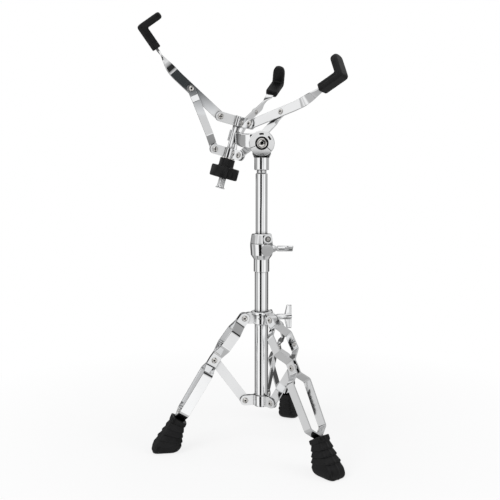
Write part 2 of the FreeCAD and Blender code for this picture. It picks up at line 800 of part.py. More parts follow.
def head_seam(angle):
    """Shallow seam from the hub recess to the rim of the tilter head."""
    half = head_seam_width / 2
    floor = head_thickness - head_seam_depth
    seam = box(hub_recess_radius, head_radius + overrun, -half, half, floor, head_thickness + overrun)
    return spun(seam, angle)


def tilter_head():
    """Round front head with its hub recess, arc slots, seams and lower notch."""
    hub = V(0, 0, hub_height)
    rim = head_thickness - head_edge
    profile = [(0, 0), (head_radius, 0), (head_radius, rim), (head_radius - head_edge, head_thickness)]
    recess = Part.makeCylinder(hub_recess_radius, head_thickness, V(0, 0, head_thickness - hub_recess_depth))
    disc = turned_piece(profile + [(0, head_thickness)]).cut(recess)
    for angle in (first_slot_angle, second_slot_angle):
        disc = disc.cut(arc_slot(angle))
    for angle in (left_seam_angle, right_seam_angle):
        disc = disc.cut(head_seam(angle))
    notch_floor = V(0, -head_radius, head_thickness - head_notch_depth)
    disc = disc.cut(Part.makeCylinder(head_notch_radius, head_notch_depth + overrun, notch_floor))
    return put(disc, facing(hub + Y * head_back, X, Z))


def bracket_section(share):
    """Section of the bracket arm along its sweep from the tilter head back to the post."""
    head_middle = (head_front + head_back) / 2
    root = V(-hub_recess_radius - bracket_root_inset, head_middle, hub_height + bracket_root_rise)
    turn = V(bracket_turn_x, head_middle, hub_height + bracket_turn_rise)
    middle = (saddle_bottom + saddle_top) / 2
    end = basket_place.multVec(V(post_radius, 0, middle))
    centre = root * (1 - share) ** 2 + turn * (2 * share * (1 - share)) + end * share ** 2
    along = (turn - root) * (2 * (1 - share)) + (end - turn) * (2 * share)
    height = bracket_root_height + (bracket_end_height - bracket_root_height) * share
    depth = bracket_root_depth + (bracket_end_depth - bracket_root_depth) * share
    side = Z.cross(along)
    return put(rounded_rectangle(depth, height, bracket_corner), facing(centre, side, along.cross(side)))


def tilter_bracket():
    """Bracket in one piece: the round head, the swept arm and the saddle behind the post."""
    hub = V(0, 0, hub_height)
    front = hub + Y * (head_front - overrun)
    back = hub + Y * (head_back + overrun)
    arm = Part.makeLoft([bracket_section(share) for share in stations(bracket_stations)], True, False)
    saddle = Part.makeCylinder(post_radius + saddle_wall, saddle_top - saddle_bottom, V(0, 0, saddle_bottom))
    reach = head_radius
    mouth = box(-reach, reach, -reach, -saddle_open, saddle_bottom - overrun, saddle_top + overrun)
    bore = Part.makeCylinder(post_radius, post_top - post_bottom, V(0, 0, post_bottom))
    bracket = joined([tilter_head(), arm, put(saddle.cut(mouth), basket_place)])
    return bracket.cut(put(bore, basket_place)).cut(rod(tilter_bolt_radius + pin_clearance, front, back))


# Basket, drawn upright on its own axis and then leaned into place

def basket_post():
    """Hollow post with a chamfered top and a lip at its lower end that keeps the knob on."""
    lip_top = post_bottom + post_lip_height
    profile = [(post_bore_radius, post_bottom), (post_lip_radius, post_bottom), (post_lip_radius, lip_top)]
    profile += [(post_radius, lip_top), (post_radius, post_top - post_chamfer)]
    profile += [(post_radius - post_chamfer, post_top), (post_bore_radius, post_top)]
    return turned_piece(profile)


def pivot_screws(radius, height):
    screw = pivot_pin(screw_radius, screw_head_radius, screw_head_height, 2 * clasp_offset + strap_thickness)
    screw.translate(V(radius, 0, height))
    return Part.makeCompound([spun(screw, azimuth) for azimuth in arm_azimuths.values()])


def yoke_bushing():
    top = yoke_pivot_height + basket_strap_height / 2
    return sleeve(post_radius + slide_clearance, yoke_bushing_outer, yoke_bottom, top)


def yoke_washer():
    low = yoke_bottom - yoke_washer_thickness
    return sleeve(post_radius + slide_clearance, yoke_washer_radius, low, yoke_bottom)


def tension_knob():
    """Black knob: a plain hub above a broad grip of three lobes parted by grooves."""
    bore = post_radius + slide_clearance
    grip_top = knob_top - knob_hub_height
    low = grip_top - knob_height
    edge = knob_edge
    profile = [(bore, low), (knob_radius - edge, low), (knob_radius, low + edge)]
    profile += [(knob_radius, grip_top - edge), (knob_radius - edge, grip_top), (knob_hub_radius, grip_top)]
    profile += [(knob_hub_radius, knob_top - edge), (knob_hub_radius - edge, knob_top), (bore, knob_top)]
    knob = turned_piece(profile)
    groove_axis = V(knob_radius + knob_groove_radius - knob_groove_depth, 0, low - overrun)
    groove = Part.makeCylinder(knob_groove_radius, knob_height + 2 * overrun, groove_axis)
    for lobe in range(knob_lobes):
        knob = knob.cut(spun(groove, knob_groove_angle + lobe * 360 / knob_lobes))
    return knob


def arm_direction():
    return V(cos(radians(arm_rise_angle)), 0, sin(radians(arm_rise_angle)))


def arm_place():
    return facing(V(arm_pivot_radius, 0, arm_pivot_height), arm_direction(), Y)


def twist_place(share):
    """Placement on the arm's middle line a share of the way along the twist, where the arm bends upwards."""
    bend_radius = twist_length / radians(twist_bend_angle)
    turned = radians(twist_bend_angle) * share
    centre = V(twist_start + bend_radius * sin(turned), 0, bend_radius * (1 - cos(turned)))
    return facing(centre, V(cos(turned), 0, sin(turned)), Y)


def twist_section(share):
    """Strip section turned by a share of the quarter twist."""
    angle = share * pi / 2
    width = arm_width + (arm_tongue_width - arm_width) * share
    corners = []
    for sy, sz in ((1, 1), (-1, 1), (-1, -1), (1, -1)):
        y = sy * arm_thickness / 2
        z = sz * width / 2
        corners.append(V(0, y * cos(angle) - z * sin(angle), y * sin(angle) + z * cos(angle)))
    return put(Part.makePolygon(corners + corners[:1]), twist_place(share))


def basket_arm():
    """Flat arm with a rounded eye, a quarter twist that bends upwards, and a tongue that enters the grip."""
    half = arm_thickness / 2
    half_tongue = arm_tongue_width / 2
    across = Y * arm_width
    bar = box(0, twist_start, -half, half, -arm_width / 2, arm_width / 2)
    eye = rod(arm_width / 2, V(0, -half, 0), V(0, half, 0))
    twist = Part.makeLoft([twist_section(share) for share in stations(twist_stations)], True, False)
    tongue = put(box(0, tongue_length, -half_tongue, half_tongue, -half, half), twist_place(1))
    arm = joined([bar, eye, twist, tongue]).cut(rod(screw_radius + pin_clearance, -across, across))
    pivot = V(strut_pivot_reach, 0, 0)
    return put(arm.cut(rod(screw_radius, pivot - across, pivot + across)), arm_place())


def edges_through(shape, point, direction):
    """Edges that lie on the line through a point."""
    def on_line(vertex):
        return (vertex.Point - point).cross(direction).Length < touch_tolerance

    return [edge for edge in shape.Edges if all(on_line(vertex) for vertex in edge.Vertexes)]


def grip():
    """L-shaped rubber grip with a rounded tip, pushed over the arm's tongue."""
    half = grip_thickness / 2
    half_breadth = grip_breadth / 2
    end = grip_inset + grip_length
    inner = end - hook_thickness
    tip = hook_length - half
    outline = [(grip_inset, -half), (end, -half), (end, tip), (inner, tip), (inner, half), (grip_inset, half)]
    body = put(prism(outline, grip_breadth), FreeCAD.Placement(V(0, 0, 0), FreeCAD.Rotation(X, 90)))
    tip_edges = edges_through(body, V(end, half_breadth, tip), X)
    tip_edges += edges_through(body, V(end, -half_breadth, tip), X)
    body = body.makeFillet(grip_tip_corner, tip_edges)
    body = body.makeFillet(grip_corner, edges_through(body, V(end, 0, -half), Y))
    body = body.makeFillet(grip_inner_corner, edges_through(body, V(inner, 0, half), Y))
    half_tongue = arm_tongue_width / 2
    half_strip = arm_thickness / 2
    pocket = box(grip_inset - overrun, tongue_length, -half_tongue, half_tongue, -half_strip, half_strip)
    return put(body.cut(pocket), arm_place().multiply(twist_place(1)))


def strut_path():
    """Joggled middle line of a strut from the yoke pivot to the arm pivot, as reach and offset pairs."""
    foot = V(yoke_pivot_radius, 0, yoke_pivot_height)
    head = V(arm_pivot_radius, 0, arm_pivot_height) + arm_direction() * strut_pivot_reach
    reach = (head - foot).Length
    neck = reach - strut_neck
    side = arm_thickness / 2 + running_gap + strut_thickness / 2
    line = [(0, 0), (strut_foot, 0), (strut_ramp, strut_set)]
    line += [(neck - strut_step, strut_set), (neck, side), (reach, side)]
    return foot, head, line


def strut():
    """Flat strut, set over by joggles so that its top end lies beside the arm."""
    foot, head, line = strut_path()
    half = strut_thickness / 2
    bar = bent_bar(line, strut_thickness, strut_width, strut_bend_radius)
    reach, side = line[-1]
    low_eye = rod(strut_width / 2, V(0, -half, 0), V(0, half, 0))
    high_eye = rod(strut_width / 2, V(reach, side - half, 0), V(reach, side + half, 0))
    bar = joined([bar, low_eye, high_eye])
    bar = bar.cut(rod(screw_radius + pin_clearance, -Y * strut_width, Y * strut_width))
    width = 2 * screw_radius + strut_slot_play
    start = reach - strut_slot_length
    slot = [box(start, reach, -strut_width, strut_width, -width / 2, width / 2)]
    slot += [rod(width / 2, V(x, -strut_width, 0), V(x, strut_width, 0)) for x in (start, reach)]
    return put(bar.cut(joined(slot)), facing(foot, head - foot, Y))


def strut_rivet():
    """Rivet that joins an arm to its strut, headed on the arm and beyond the strut."""
    side = arm_thickness / 2 + running_gap + strut_thickness / 2
    grip_length = arm_thickness + running_gap + strut_thickness + running_gap
    rivet = pivot_pin(screw_radius, rivet_head_radius, rivet_head_height, grip_length)
    middle = (side + strut_thickness / 2 + running_gap - arm_thickness / 2) / 2
    rivet.translate(V(strut_pivot_reach, middle, 0))
    return put(rivet, arm_place())


# The set of pieces

def rivet_set(radius, height, grip):
    """Three rivets, one at each leg."""
    rivet = pivot_pin(rivet_radius, rivet_head_radius, rivet_head_height, grip)
    rivet.translate(V(radius, 0, height))
    return Part.makeCompound([spun(rivet, azimuth) for azimuth in leg_azimuths.values()])


def tripod_pieces():
    pieces = {"lower_tube": lower_tube(), "leg_collar": leg_collar(), "leg_wing_bolt": leg_wing_bolt()}
    ear_offset = brace_thickness / 2 + running_gap + strap_thickness / 2
    pivot = V(spider_pivot_radius, 0, spider_pivot_height)
    strap = formed_strap(lower_tube_radius, ear_offset, pivot, spider_strap_height, rivet_radius)
    for place, side in strap_sides.items():
        pieces["spider_strap_" + place] = spun(strap, leg_azimuths[side])
    spider_grip = 2 * ear_offset + strap_thickness
    lug_grip = 2 * lug_offset + strip_thickness + 2 * running_gap
    pieces["spider_rivets"] = rivet_set(spider_pivot_radius, spider_pivot_height, spider_grip)
    pieces["leg_collar_rivets"] = rivet_set(collar_pivot_radius, collar_pivot_height, lug_grip)
    for side, azimuth in leg_azimuths.items():
        pieces[side + "_leg_strip_a"] = spun(leg_strip(1), azimuth)
        pieces[side + "_leg_strip_b"] = spun(leg_strip(-1), azimuth)
        pieces[side + "_knee_rivet"] = spun(knee_rivet(), azimuth)
        pieces[side + "_boot"] = spun(boot(), azimuth)
        pieces[side + "_brace"] = spun(brace(), azimuth)
    return pieces


def column_pieces():
    pieces = {"height_clamp": height_clamp(), "clamp_bushing": clamp_bushing()}
    pieces.update({"height_wing_bolt": height_wing_bolt(), "upper_tube": upper_tube()})
    pieces.update({"memory_lock": memory_lock(), "memory_lock_screw": memory_lock_screw()})
    pieces.update({"tilter_socket": tilter_socket(), "tilter_bolt": tilter_bolt(), "tilter_nut": tilter_nut()})
    pieces.update({"hub_washer": hub_washer(), "friction_washer": friction_washer()})
    pieces["tilter_bracket"] = tilter_bracket()
    return pieces


def basket_pieces():
    upright = {"basket_post": basket_post(), "tension_knob": tension_knob()}
    upright.update({"yoke_bushing": yoke_bushing(), "yoke_washer": yoke_washer()})
    upright["collar_screws"] = pivot_screws(arm_pivot_radius, arm_pivot_height)
    upright["yoke_screws"] = pivot_screws(yoke_pivot_radius, yoke_pivot_height)
    pivot = V(arm_pivot_radius, 0, arm_pivot_height)
    collar_strap = formed_strap(post_radius, clasp_offset, pivot, basket_strap_height, screw_radius)
    pivot = V(yoke_pivot_radius, 0, yoke_pivot_height)
    yoke_strap = formed_strap(yoke_bushing_outer, clasp_offset, pivot, basket_strap_height, screw_radius)
    for place, side in strap_sides.items():
        upright["collar_strap_" + place] = spun(collar_strap, arm_azimuths[side])
        upright["yoke_strap_" + place] = spun(yoke_strap, arm_azimuths[side])
    for side, azimuth in arm_azimuths.items():
        upright[side + "_arm"] = spun(basket_arm(), azimuth)
        upright[side + "_grip"] = spun(grip(), azimuth)
        upright[side + "_strut"] = spun(strut(), azimuth)
        upright[side + "_strut_rivet"] = spun(strut_rivet(), azimuth)
    return {name: put(shape, basket_place) for name, shape in upright.items()}


def main():
    os.makedirs("parts", exist_ok=True)
    pieces = {**tripod_pieces(), **column_pieces(), **basket_pieces()}
    for name, shape in pieces.items():
        shape.exportStep("parts/" + name + ".step")
    print(len(pieces), "pieces")


if __name__ == "__main__":
    main()
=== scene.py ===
# %% [markdown]
# # A chrome snare drum stand
#
# A snare stand is a folding tripod, a telescoping tube, a tilter and a basket of three arms that
# grips the drum. Most metal pieces come straight from the CAD frame, so this lesson is about two
# things: finishes, because chrome is really the room around it, and the small soft forms that make
# rubber, moulded plastic and fasteners look real. Sizes are in metres, unless a comment says
# otherwise.

# %% Load the frame
import json
from math import cos, pi, radians, sin, sqrt

import bmesh
import bpy
from mathutils import Matrix, Vector


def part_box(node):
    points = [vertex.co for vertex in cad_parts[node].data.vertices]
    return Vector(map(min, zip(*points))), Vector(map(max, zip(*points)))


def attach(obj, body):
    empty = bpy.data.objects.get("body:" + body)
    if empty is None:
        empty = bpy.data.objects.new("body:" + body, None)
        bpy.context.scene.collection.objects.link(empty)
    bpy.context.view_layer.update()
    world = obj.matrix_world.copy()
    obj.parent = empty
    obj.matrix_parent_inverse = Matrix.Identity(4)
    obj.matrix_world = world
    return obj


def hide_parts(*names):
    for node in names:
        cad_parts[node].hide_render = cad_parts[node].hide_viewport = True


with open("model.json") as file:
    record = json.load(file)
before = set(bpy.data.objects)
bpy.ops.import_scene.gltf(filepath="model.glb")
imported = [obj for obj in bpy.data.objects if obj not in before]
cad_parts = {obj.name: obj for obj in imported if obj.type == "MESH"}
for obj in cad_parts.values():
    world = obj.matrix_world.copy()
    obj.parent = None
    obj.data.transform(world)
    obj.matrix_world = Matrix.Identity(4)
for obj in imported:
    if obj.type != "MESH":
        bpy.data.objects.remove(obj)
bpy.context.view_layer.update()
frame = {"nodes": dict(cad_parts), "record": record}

nodes = frame["nodes"]
joints = {joint["name"]: joint for joint in frame["record"]["behaviour"]["joints"]}

# %% [markdown]
# ## Camera
#
# The photograph was taken from just below the tilter's height, looking slightly down. The camera was
# found by matching the pivots and feet of the stand to their places in the picture, which is more
# reliable than judging a view by eye. The picture is square, so the lens is set across its width.

# %% Camera
picture_width = 500
focal_pixels = 738.4
camera_place = (-0.0215, -1.3672, 0.5320)
look_down = 0.113

camera = bpy.data.cameras.new("photo_camera")
camera.sensor_fit = "HORIZONTAL"
camera.sensor_width = 36.0
camera.lens = camera.sensor_width * focal_pixels / picture_width
camera.clip_end = 50.0
camera_object = bpy.data.objects.new("photo_camera", camera)
camera_object.location = camera_place
camera_object.rotation_euler = (pi / 2 - look_down, 0, 0)
bpy.context.scene.collection.objects.link(camera_object)
bpy.context.scene.camera = camera_object
bpy.context.scene.view_settings.view_transform = "Standard"
print("lens", round(camera.lens, 2), "mm")

# %% [markdown]
# ## Studio
#
# Polished chrome has almost no colour of its own: it shows the studio. In the photograph each tube
# has a thin black line near its middle, broad white fields and grey edges. Those are a dark gap near
# the lens, white walls to the sides and a greyer room behind, under a white ceiling. One way is to
# stand cards around the object, but they would be seen from other angles. Here the world is painted
# by direction instead. A colour ramp runs round the compass at each of five heights, and the heights
# are blended. The gap is wider level with the lens than above and below it. The Light Path node shows
# that room to reflections only, while the camera sees plain white.

# %% Node helpers


def add_node(tree, kind, **values):
    """Add a node and set its inputs by name."""
    node = tree.nodes.new(kind)
    for name, value in values.items():
        node.inputs[name.replace("_", " ")].default_value = value
    return node


def maths(tree, operation, first, second=None):
    """One sum on a socket, with a second socket or nothing."""
    node = add_node(tree, "ShaderNodeMath")
    node.operation = operation
    tree.links.new(first, node.inputs[0])
    if second is not None:
        tree.links.new(second, node.inputs[1])
    return node.outputs[0]


def ranged(tree, source, from_low, from_high, to_low=0.0, to_high=1.0):
    """Map one range of values onto another and hold it at the ends."""
    node = add_node(tree, "ShaderNodeMapRange", From_Min=from_low, From_Max=from_high,
                    To_Min=to_low, To_Max=to_high)
    tree.links.new(source, node.inputs["Value"])
    return node.outputs["Result"]


def mixed(tree, factor, first, second):
    """Blend two colours, each a socket or a plain colour."""
    node = add_node(tree, "ShaderNodeMix")
    node.data_type = "RGBA"
    tree.links.new(factor, node.inputs["Factor"])
    for colour, socket in ((first, node.inputs["A"]), (second, node.inputs["B"])):
        if isinstance(colour, tuple):
            socket.default_value = (*colour, 1.0)
        else:
            tree.links.new(colour, socket)
    return node.outputs["Result"]


print("node helpers ready")

# %% Compass
world = bpy.data.worlds.new("white_studio")
world.use_nodes = True
bpy.context.scene.world = world
tree = world.node_tree
tree.nodes.clear()
direction = add_node(tree, "ShaderNodeTexCoord")
axes = add_node(tree, "ShaderNodeSeparateXYZ")
tree.links.new(direction.outputs["Generated"], axes.inputs[0])
towards_camera = maths(tree, "MULTIPLY", axes.outputs["Y"])
towards_camera.node.inputs[1].default_value = -1.0
turn = ranged(tree, maths(tree, "ARCTAN2", axes.outputs["X"], towards_camera), -pi, pi)
height = axes.outputs["Z"]


def walls(stops):
    """Shades round the compass: bearing 0 is towards the camera, positive bearings are to the right."""
    node = add_node(tree, "ShaderNodeValToRGB")
    ramp = node.color_ramp
    while len(ramp.elements) > 1:
        ramp.elements.remove(ramp.elements[-1])
    for i, (bearing, shade) in enumerate(stops):
        element = ramp.elements[0] if i == 0 else ramp.elements.new(0.5 + bearing / 360)
        element.position = 0.5 + bearing / 360
        element.color = (shade, shade, shade, 1.0)
    tree.links.new(turn, node.inputs["Fac"])
    return node.outputs["Color"]


print("compass ready")

# %% Walls and ceiling
left_side = [(-180, 0.60), (-172, 0.55), (-164, 0.12), (-144, 0.12), (-130, 0.38), (-78, 0.40),
             (-69, 1.0)]
right_side = [(20, 1.0), (24, 0.69), (35, 0.69), (39, 1.05), (67, 1.05), (77, 0.42), (130, 0.42),
              (146, 0.55), (180, 0.60)]
narrow_gap = [(-35, 1.05), (-32, 0.006), (-3, 0.006), (-0.8, 0.79), (7, 0.86), (12, 1.05)]
wide_gap = [(-31, 1.05), (-28, 0.006), (3.5, 0.006), (6, 1.05)]
level = walls(left_side + narrow_gap + right_side)
lens = walls(left_side + wide_gap + right_side)
low = walls([(-180, 0.66), (-172, 0.60), (-164, 0.08), (-126, 0.08), (-116, 0.40), (-109, 0.68),
             (-96, 0.68), (-91, 0.42), (-72, 0.42), (-62, 1.0), (-31, 1.05), (-28, 0.008), (-4, 0.008),
             (-2, 0.40), (5, 0.44), (7, 1.05), (12, 1.05), (15, 0.86), (22, 0.84), (26, 0.70), (30, 0.70),
             (34, 1.05), (58, 1.05), (70, 0.50), (108, 0.42), (122, 0.08), (166, 0.08), (174, 0.60),
             (180, 0.66)])
under = walls([(-180, 0.30), (-100, 0.50), (-40, 0.52), (0, 0.60), (16, 0.55), (22, 0.05), (66, 0.05),
               (76, 0.50), (126, 0.60), (180, 0.28)])
above = walls([(-180, 0.12), (-136, 0.12), (-120, 0.88), (-80, 0.94), (-73, 0.22), (-48, 0.16),
               (-42, 0.96), (20, 0.96), (28, 0.03), (68, 0.03), (78, 0.30), (86, 0.46), (104, 0.58),
               (120, 0.85), (180, 0.55)])
white = (1.0, 1.0, 1.0)
fill_light = (0.56, 0.56, 0.565)

# Each band begins at one height of the direction's z, and has taken over at the next.
bands = [(0.021, 0.014, lens), (-0.050, -0.060, level), (-0.102, -0.107, low), (-0.44, -0.62, under),
         (0.12, 0.24, above), (0.72, 0.86, white)]
room = level
for begins, complete, shades in bands:
    room = mixed(tree, ranged(tree, height, begins, complete), room, shades)
path = add_node(tree, "ShaderNodeLightPath")
room = mixed(tree, path.outputs["Is Glossy Ray"], fill_light, room)
room = mixed(tree, path.outputs["Is Camera Ray"], room, white)
background = add_node(tree, "ShaderNodeBackground", Strength=1.0)
tree.links.new(room, background.inputs["Color"])
world_output = add_node(tree, "ShaderNodeOutputWorld")
tree.links.new(background.outputs[0], world_output.inputs["Surface"])
print("world with", len(tree.nodes), "nodes")

# %% [markdown]
# ## Floor, flag and lamps
#
# Two large soft lamps give the black rubber its form and a gentle shadow on the floor. The floor is a
# pale sheet that takes the shadow near the feet and turns into plain glowing white further out, so no
# horizon shows. The left basket arm is dark in the photograph although it faces the same way as white
# pieces, so something dark stood near it: a black flag, which only reflections can see.

# %% Floor
floor_size = 12.0
shadow_radius, white_radius = 0.25, 0.80
near_glow, far_glow = 0.80, 1.0
paper_shade = (0.88, 0.88, 0.88, 1.0)

bpy.ops.mesh.primitive_plane_add(size=floor_size, location=(0, 0, 0))
floor = bpy.context.object
floor.name = "pale_floor"
floor.visible_glossy = False
paper = bpy.data.materials.new("pale_paper")
paper.use_nodes = True
tree = paper.node_tree
tree.nodes.clear()
spot = add_node(tree, "ShaderNodeNewGeometry")
distance = add_node(tree, "ShaderNodeVectorMath")
distance.operation = "LENGTH"
tree.links.new(spot.outputs["Position"], distance.inputs[0])
matt = add_node(tree, "ShaderNodeBsdfDiffuse", Color=paper_shade)
glow = add_node(tree, "ShaderNodeEmission", Color=(*white, 1.0), Strength=1.0)
blend = add_node(tree, "ShaderNodeMixShader")
glow_share = ranged(tree, distance.outputs["Value"], shadow_radius, white_radius, near_glow, far_glow)
tree.links.new(glow_share, blend.inputs[0])
tree.links.new(matt.outputs[0], blend.inputs[1])
tree.links.new(glow.outputs[0], blend.inputs[2])
paper_output = add_node(tree, "ShaderNodeOutputMaterial")
tree.links.new(blend.outputs[0], paper_output.inputs["Surface"])
floor.data.materials.append(paper)
print("floor", floor_size, "m across")

# %% Lamps
lamp_aim = Vector((0, 0, 0.4))


def soft_lamp(name, place, size, watts):
    """A square lamp that looks at the stand's middle and stays out of reflections."""
    lamp = bpy.data.lights.new(name, "AREA")
    lamp.size = size
    lamp.energy = watts
    lamp_object = bpy.data.objects.new(name, lamp)
    lamp_object.location = place
    lamp_object.rotation_euler = (lamp_aim - Vector(place)).to_track_quat("-Z", "Y").to_euler()
    lamp_object.visible_glossy = False
    bpy.context.scene.collection.objects.link(lamp_object)


soft_lamp("high_left_lamp", place=(-1.4, -1.3, 2.0), size=1.4, watts=24)
soft_lamp("right_lamp", place=(1.6, -0.7, 1.3), size=1.0, watts=10)
print("two lamps")

# %% Flag
flag_place = Vector((0.44, -1.30, 0.68))
flag_size = 0.30
flag_fade = 0.34
flag_edge_shade, flag_shade = (0.84, 0.85, 0.86), (0.045, 0.050, 0.052)

bpy.ops.mesh.primitive_plane_add(size=flag_size, location=flag_place)
flag = bpy.context.object
flag.name = "black_flag"
flag.rotation_euler = (pi / 2, 0, 0)
felt = bpy.data.materials.new("black_felt")
felt.use_nodes = True
tree = felt.node_tree
tree.nodes.clear()
place = add_node(tree, "ShaderNodeTexCoord")
flag_axes = add_node(tree, "ShaderNodeSeparateXYZ")
tree.links.new(place.outputs["Generated"], flag_axes.inputs[0])
fade = ranged(tree, flag_axes.outputs["Y"], 0.0, flag_fade)
dark = add_node(tree, "ShaderNodeEmission", Strength=1.0)
tree.links.new(mixed(tree, fade, flag_edge_shade, flag_shade), dark.inputs["Color"])
felt_output = add_node(tree, "ShaderNodeOutputMaterial")
tree.links.new(dark.outputs[0], felt_output.inputs["Surface"])
flag.data.materials.append(felt)
for seen_by in ("visible_camera", "visible_diffuse", "visible_shadow", "visible_transmission"):
    setattr(flag, seen_by, False)
print("flag", flag_size, "m across")

# %% [markdown]
# ## Chrome
#
# Chrome plate is metal with a very low roughness. Real plating is never a perfect mirror: it follows
# the faint waviness of the metal below it and picks up hazy handling marks. Two noises do that here,
# a slow one that moves the shade and roughness and a finer one for the surface, both kept well below
# what the eye reads as dirt. A Bevel node rounds every edge by a fraction of a millimetre, because a
# pressed strip has no razor edges and the thin light line along them is what makes it read as metal.
# An Ambient Occlusion node paints shade into the plate's colour in holes and seams, where a small
# photograph shows black outlines; this dark is painted shade, not a colour of the plate. Rivets and
# screws are zinc plated, a little warmer and duller than the chrome.

# %% Plated finishes
haze_scale, wave_scale = 26.0, 140.0
noise_range = (0.3, 0.7)
wave_height = 0.0002
sheltered, open_air = 0.44, 0.86
# Painted shade: the near-black that holes, seams and contacts are darkened towards.
painted_seam_shade = (0.015, 0.015, 0.015)


def new_finish(name):
    """A fresh material with its shader and output, ready for more nodes."""
    finish = bpy.data.materials.new(name)
    finish.use_nodes = True
    tree = finish.node_tree
    tree.nodes.clear()
    shader = add_node(tree, "ShaderNodeBsdfPrincipled")
    output = add_node(tree, "ShaderNodeOutputMaterial")
    tree.links.new(shader.outputs[0], output.inputs["Surface"])
    return finish, tree, shader


def object_noise(tree, scale, detail):
    """Noise in the piece's own coordinates, which are metres."""
    place = add_node(tree, "ShaderNodeTexCoord")
    noise = add_node(tree, "ShaderNodeTexNoise", Scale=scale, Detail=detail)
    tree.links.new(place.outputs["Object"], noise.inputs["Vector"])
    return noise.outputs["Fac"]


def bumped(tree, shader, source, strength, distance, edge=0.0):
    """Drive the shader's normal from a height, over edges rounded by a small radius."""
    bump = add_node(tree, "ShaderNodeBump", Strength=strength, Distance=distance)
    tree.links.new(source, bump.inputs["Height"])
    tree.links.new(bump.outputs["Normal"], shader.inputs["Normal"])
    if edge:
        soft_edge = add_node(tree, "ShaderNodeBevel", Radius=edge)
        soft_edge.samples = 4
        tree.links.new(soft_edge.outputs["Normal"], bump.inputs["Normal"])


def plated(name, dark, light, smooth, hazy, wave, edge, reach, alone):
    """Bright plating between two close shades, hazier in some places, with shade painted into its colour
    where it is sheltered.
    """
    finish, tree, shader = new_finish(name)
    shader.inputs["Metallic"].default_value = 1.0
    haze = object_noise(tree, haze_scale, detail=4.0)
    plate = mixed(tree, ranged(tree, haze, *noise_range), dark, light)
    # Painted shade: the Ambient Occlusion mask darkens the plate's colour in holes, seams and contacts.
    painted_shade_ao = add_node(tree, "ShaderNodeAmbientOcclusion", Distance=reach)
    painted_shade_ao.samples = 6
    painted_shade_ao.only_local = alone
    plate = mixed(tree, ranged(tree, painted_shade_ao.outputs["AO"], sheltered, open_air), painted_seam_shade, plate)
    tree.links.new(plate, shader.inputs["Base Color"])
    tree.links.new(ranged(tree, haze, *noise_range, smooth, hazy), shader.inputs["Roughness"])
    bumped(tree, shader, object_noise(tree, wave_scale, detail=2.0), wave, wave_height, edge)
    return finish


# Both plated finishes get painted shade in holes and seams; reach is how far it spreads, alone keeps it
# to the piece itself.
chrome = plated("chrome_plate", dark=(0.85, 0.855, 0.86), light=(0.90, 0.905, 0.91), smooth=0.03,
                hazy=0.055, wave=0.003, edge=0.0005, reach=0.008, alone=False)
bright_zinc = plated("plated_fasteners", dark=(0.70, 0.68, 0.65), light=(0.80, 0.785, 0.765), smooth=0.08,
                     hazy=0.14, wave=0.02, edge=0.0003, reach=0.010, alone=True)
print("two plated finishes")

# %% [markdown]
# ## Rubber, plastic and nylon
#
# Boots and grips are moulded rubber: black, matt and a little dusty, with a fine grain from the
# mould. The knob is glossier moulded plastic with a spark-eroded texture. The washers and bushings
# are plain black nylon. All three are dark, so they differ mostly in roughness and in the scale of
# their grain.

# %% Dark finishes
dust_scale = 60.0
dust_range = (0.4, 0.75)
grain_height = 0.0003


def moulded(name, deep, worn, smooth, rough, grain, depth, gloss):
    """Dark moulded material with a dusty variation and a fine surface grain."""
    finish, tree, shader = new_finish(name)
    dust = object_noise(tree, dust_scale, detail=6.0)
    tree.links.new(mixed(tree, ranged(tree, dust, *dust_range), deep, worn), shader.inputs["Base Color"])
    tree.links.new(ranged(tree, dust, *noise_range, smooth, rough), shader.inputs["Roughness"])
    shader.inputs["Specular IOR Level"].default_value = gloss
    bumped(tree, shader, object_noise(tree, grain, detail=4.0), depth, grain_height)
    return finish


rubber = moulded("black_rubber", deep=(0.003, 0.003, 0.0033), worn=(0.008, 0.008, 0.0085), smooth=0.38,
                 rough=0.56, grain=900.0, depth=0.20, gloss=0.27)
knob_plastic = moulded("black_plastic", deep=(0.004, 0.004, 0.0043), worn=(0.009, 0.009, 0.0095),
                       smooth=0.30, rough=0.44, grain=1400.0, depth=0.18, gloss=0.26)
nylon = moulded("black_nylon", deep=(0.004, 0.004, 0.0043), worn=(0.009, 0.009, 0.0095), smooth=0.38,
                rough=0.50, grain=700.0, depth=0.12, gloss=0.22)
finishes = {"chrome_plate": chrome, "plated_fasteners": bright_zinc, "black_rubber": rubber,
            "black_plastic": knob_plastic, "black_nylon": nylon}
print("finishes:", ", ".join(finishes))

# %% [markdown]
# ## Dress the CAD pieces
#
# Tubes, castings, strips, braces and straps keep their CAD shape and only need a finish. The frame's
# record says which finish each piece has, so one loop dresses them all. Giving out finishes by hand
# would work too, but it would have to be done again after every change to the frame.

# %% Dress the CAD pieces
slot_of = {part["node"]: part["material_slot"] for part in frame["record"]["subparts"]}
for name, piece in nodes.items():
    piece.data.materials.clear()
    piece.data.materials.append(finishes[slot_of[name]])
print("dressed", len(slot_of), "pieces")

# %% [markdown]
# ## Ways of making a mesh
#
# Rubber, plastic and fasteners need soft edges that a CAD solid seldom has. Nearly all of them can be
# made by one idea: draw a ring of points, draw the next ring a little further on, and skin the rings.
# The first helpers draw rings: they round the corners of an outline, space its points evenly, or turn
# a profile about an axis. The others skin a row of rings into one closed surface and make a piece of
# it. A hollow piece joins its last ring back to its first.

# %% Ring helpers
up = Vector((0, 0, 1))
tiny = 1e-6
most_of_half = 0.49


def between(first, last, share):
    """Value at a share of the way from one value to another."""
    return first + (last - first) * share


def rounded_path(corners, steps):
    """Round the corners of a closed outline; each corner is x, y and a radius."""
    path = []
    for i, (x, y, radius) in enumerate(corners):
        corner = Vector((x, y))
        back = Vector(corners[i - 1][:2]) - corner
        on = Vector(corners[(i + 1) % len(corners)][:2]) - corner
        start = corner + back.normalized() * min(radius, back.length * most_of_half)
        end = corner + on.normalized() * min(radius, on.length * most_of_half)
        for step in range(steps + 1):
            t = step / steps
            path.append(start * (1 - t) ** 2 + corner * (2 * t * (1 - t)) + end * t ** 2)
    return path


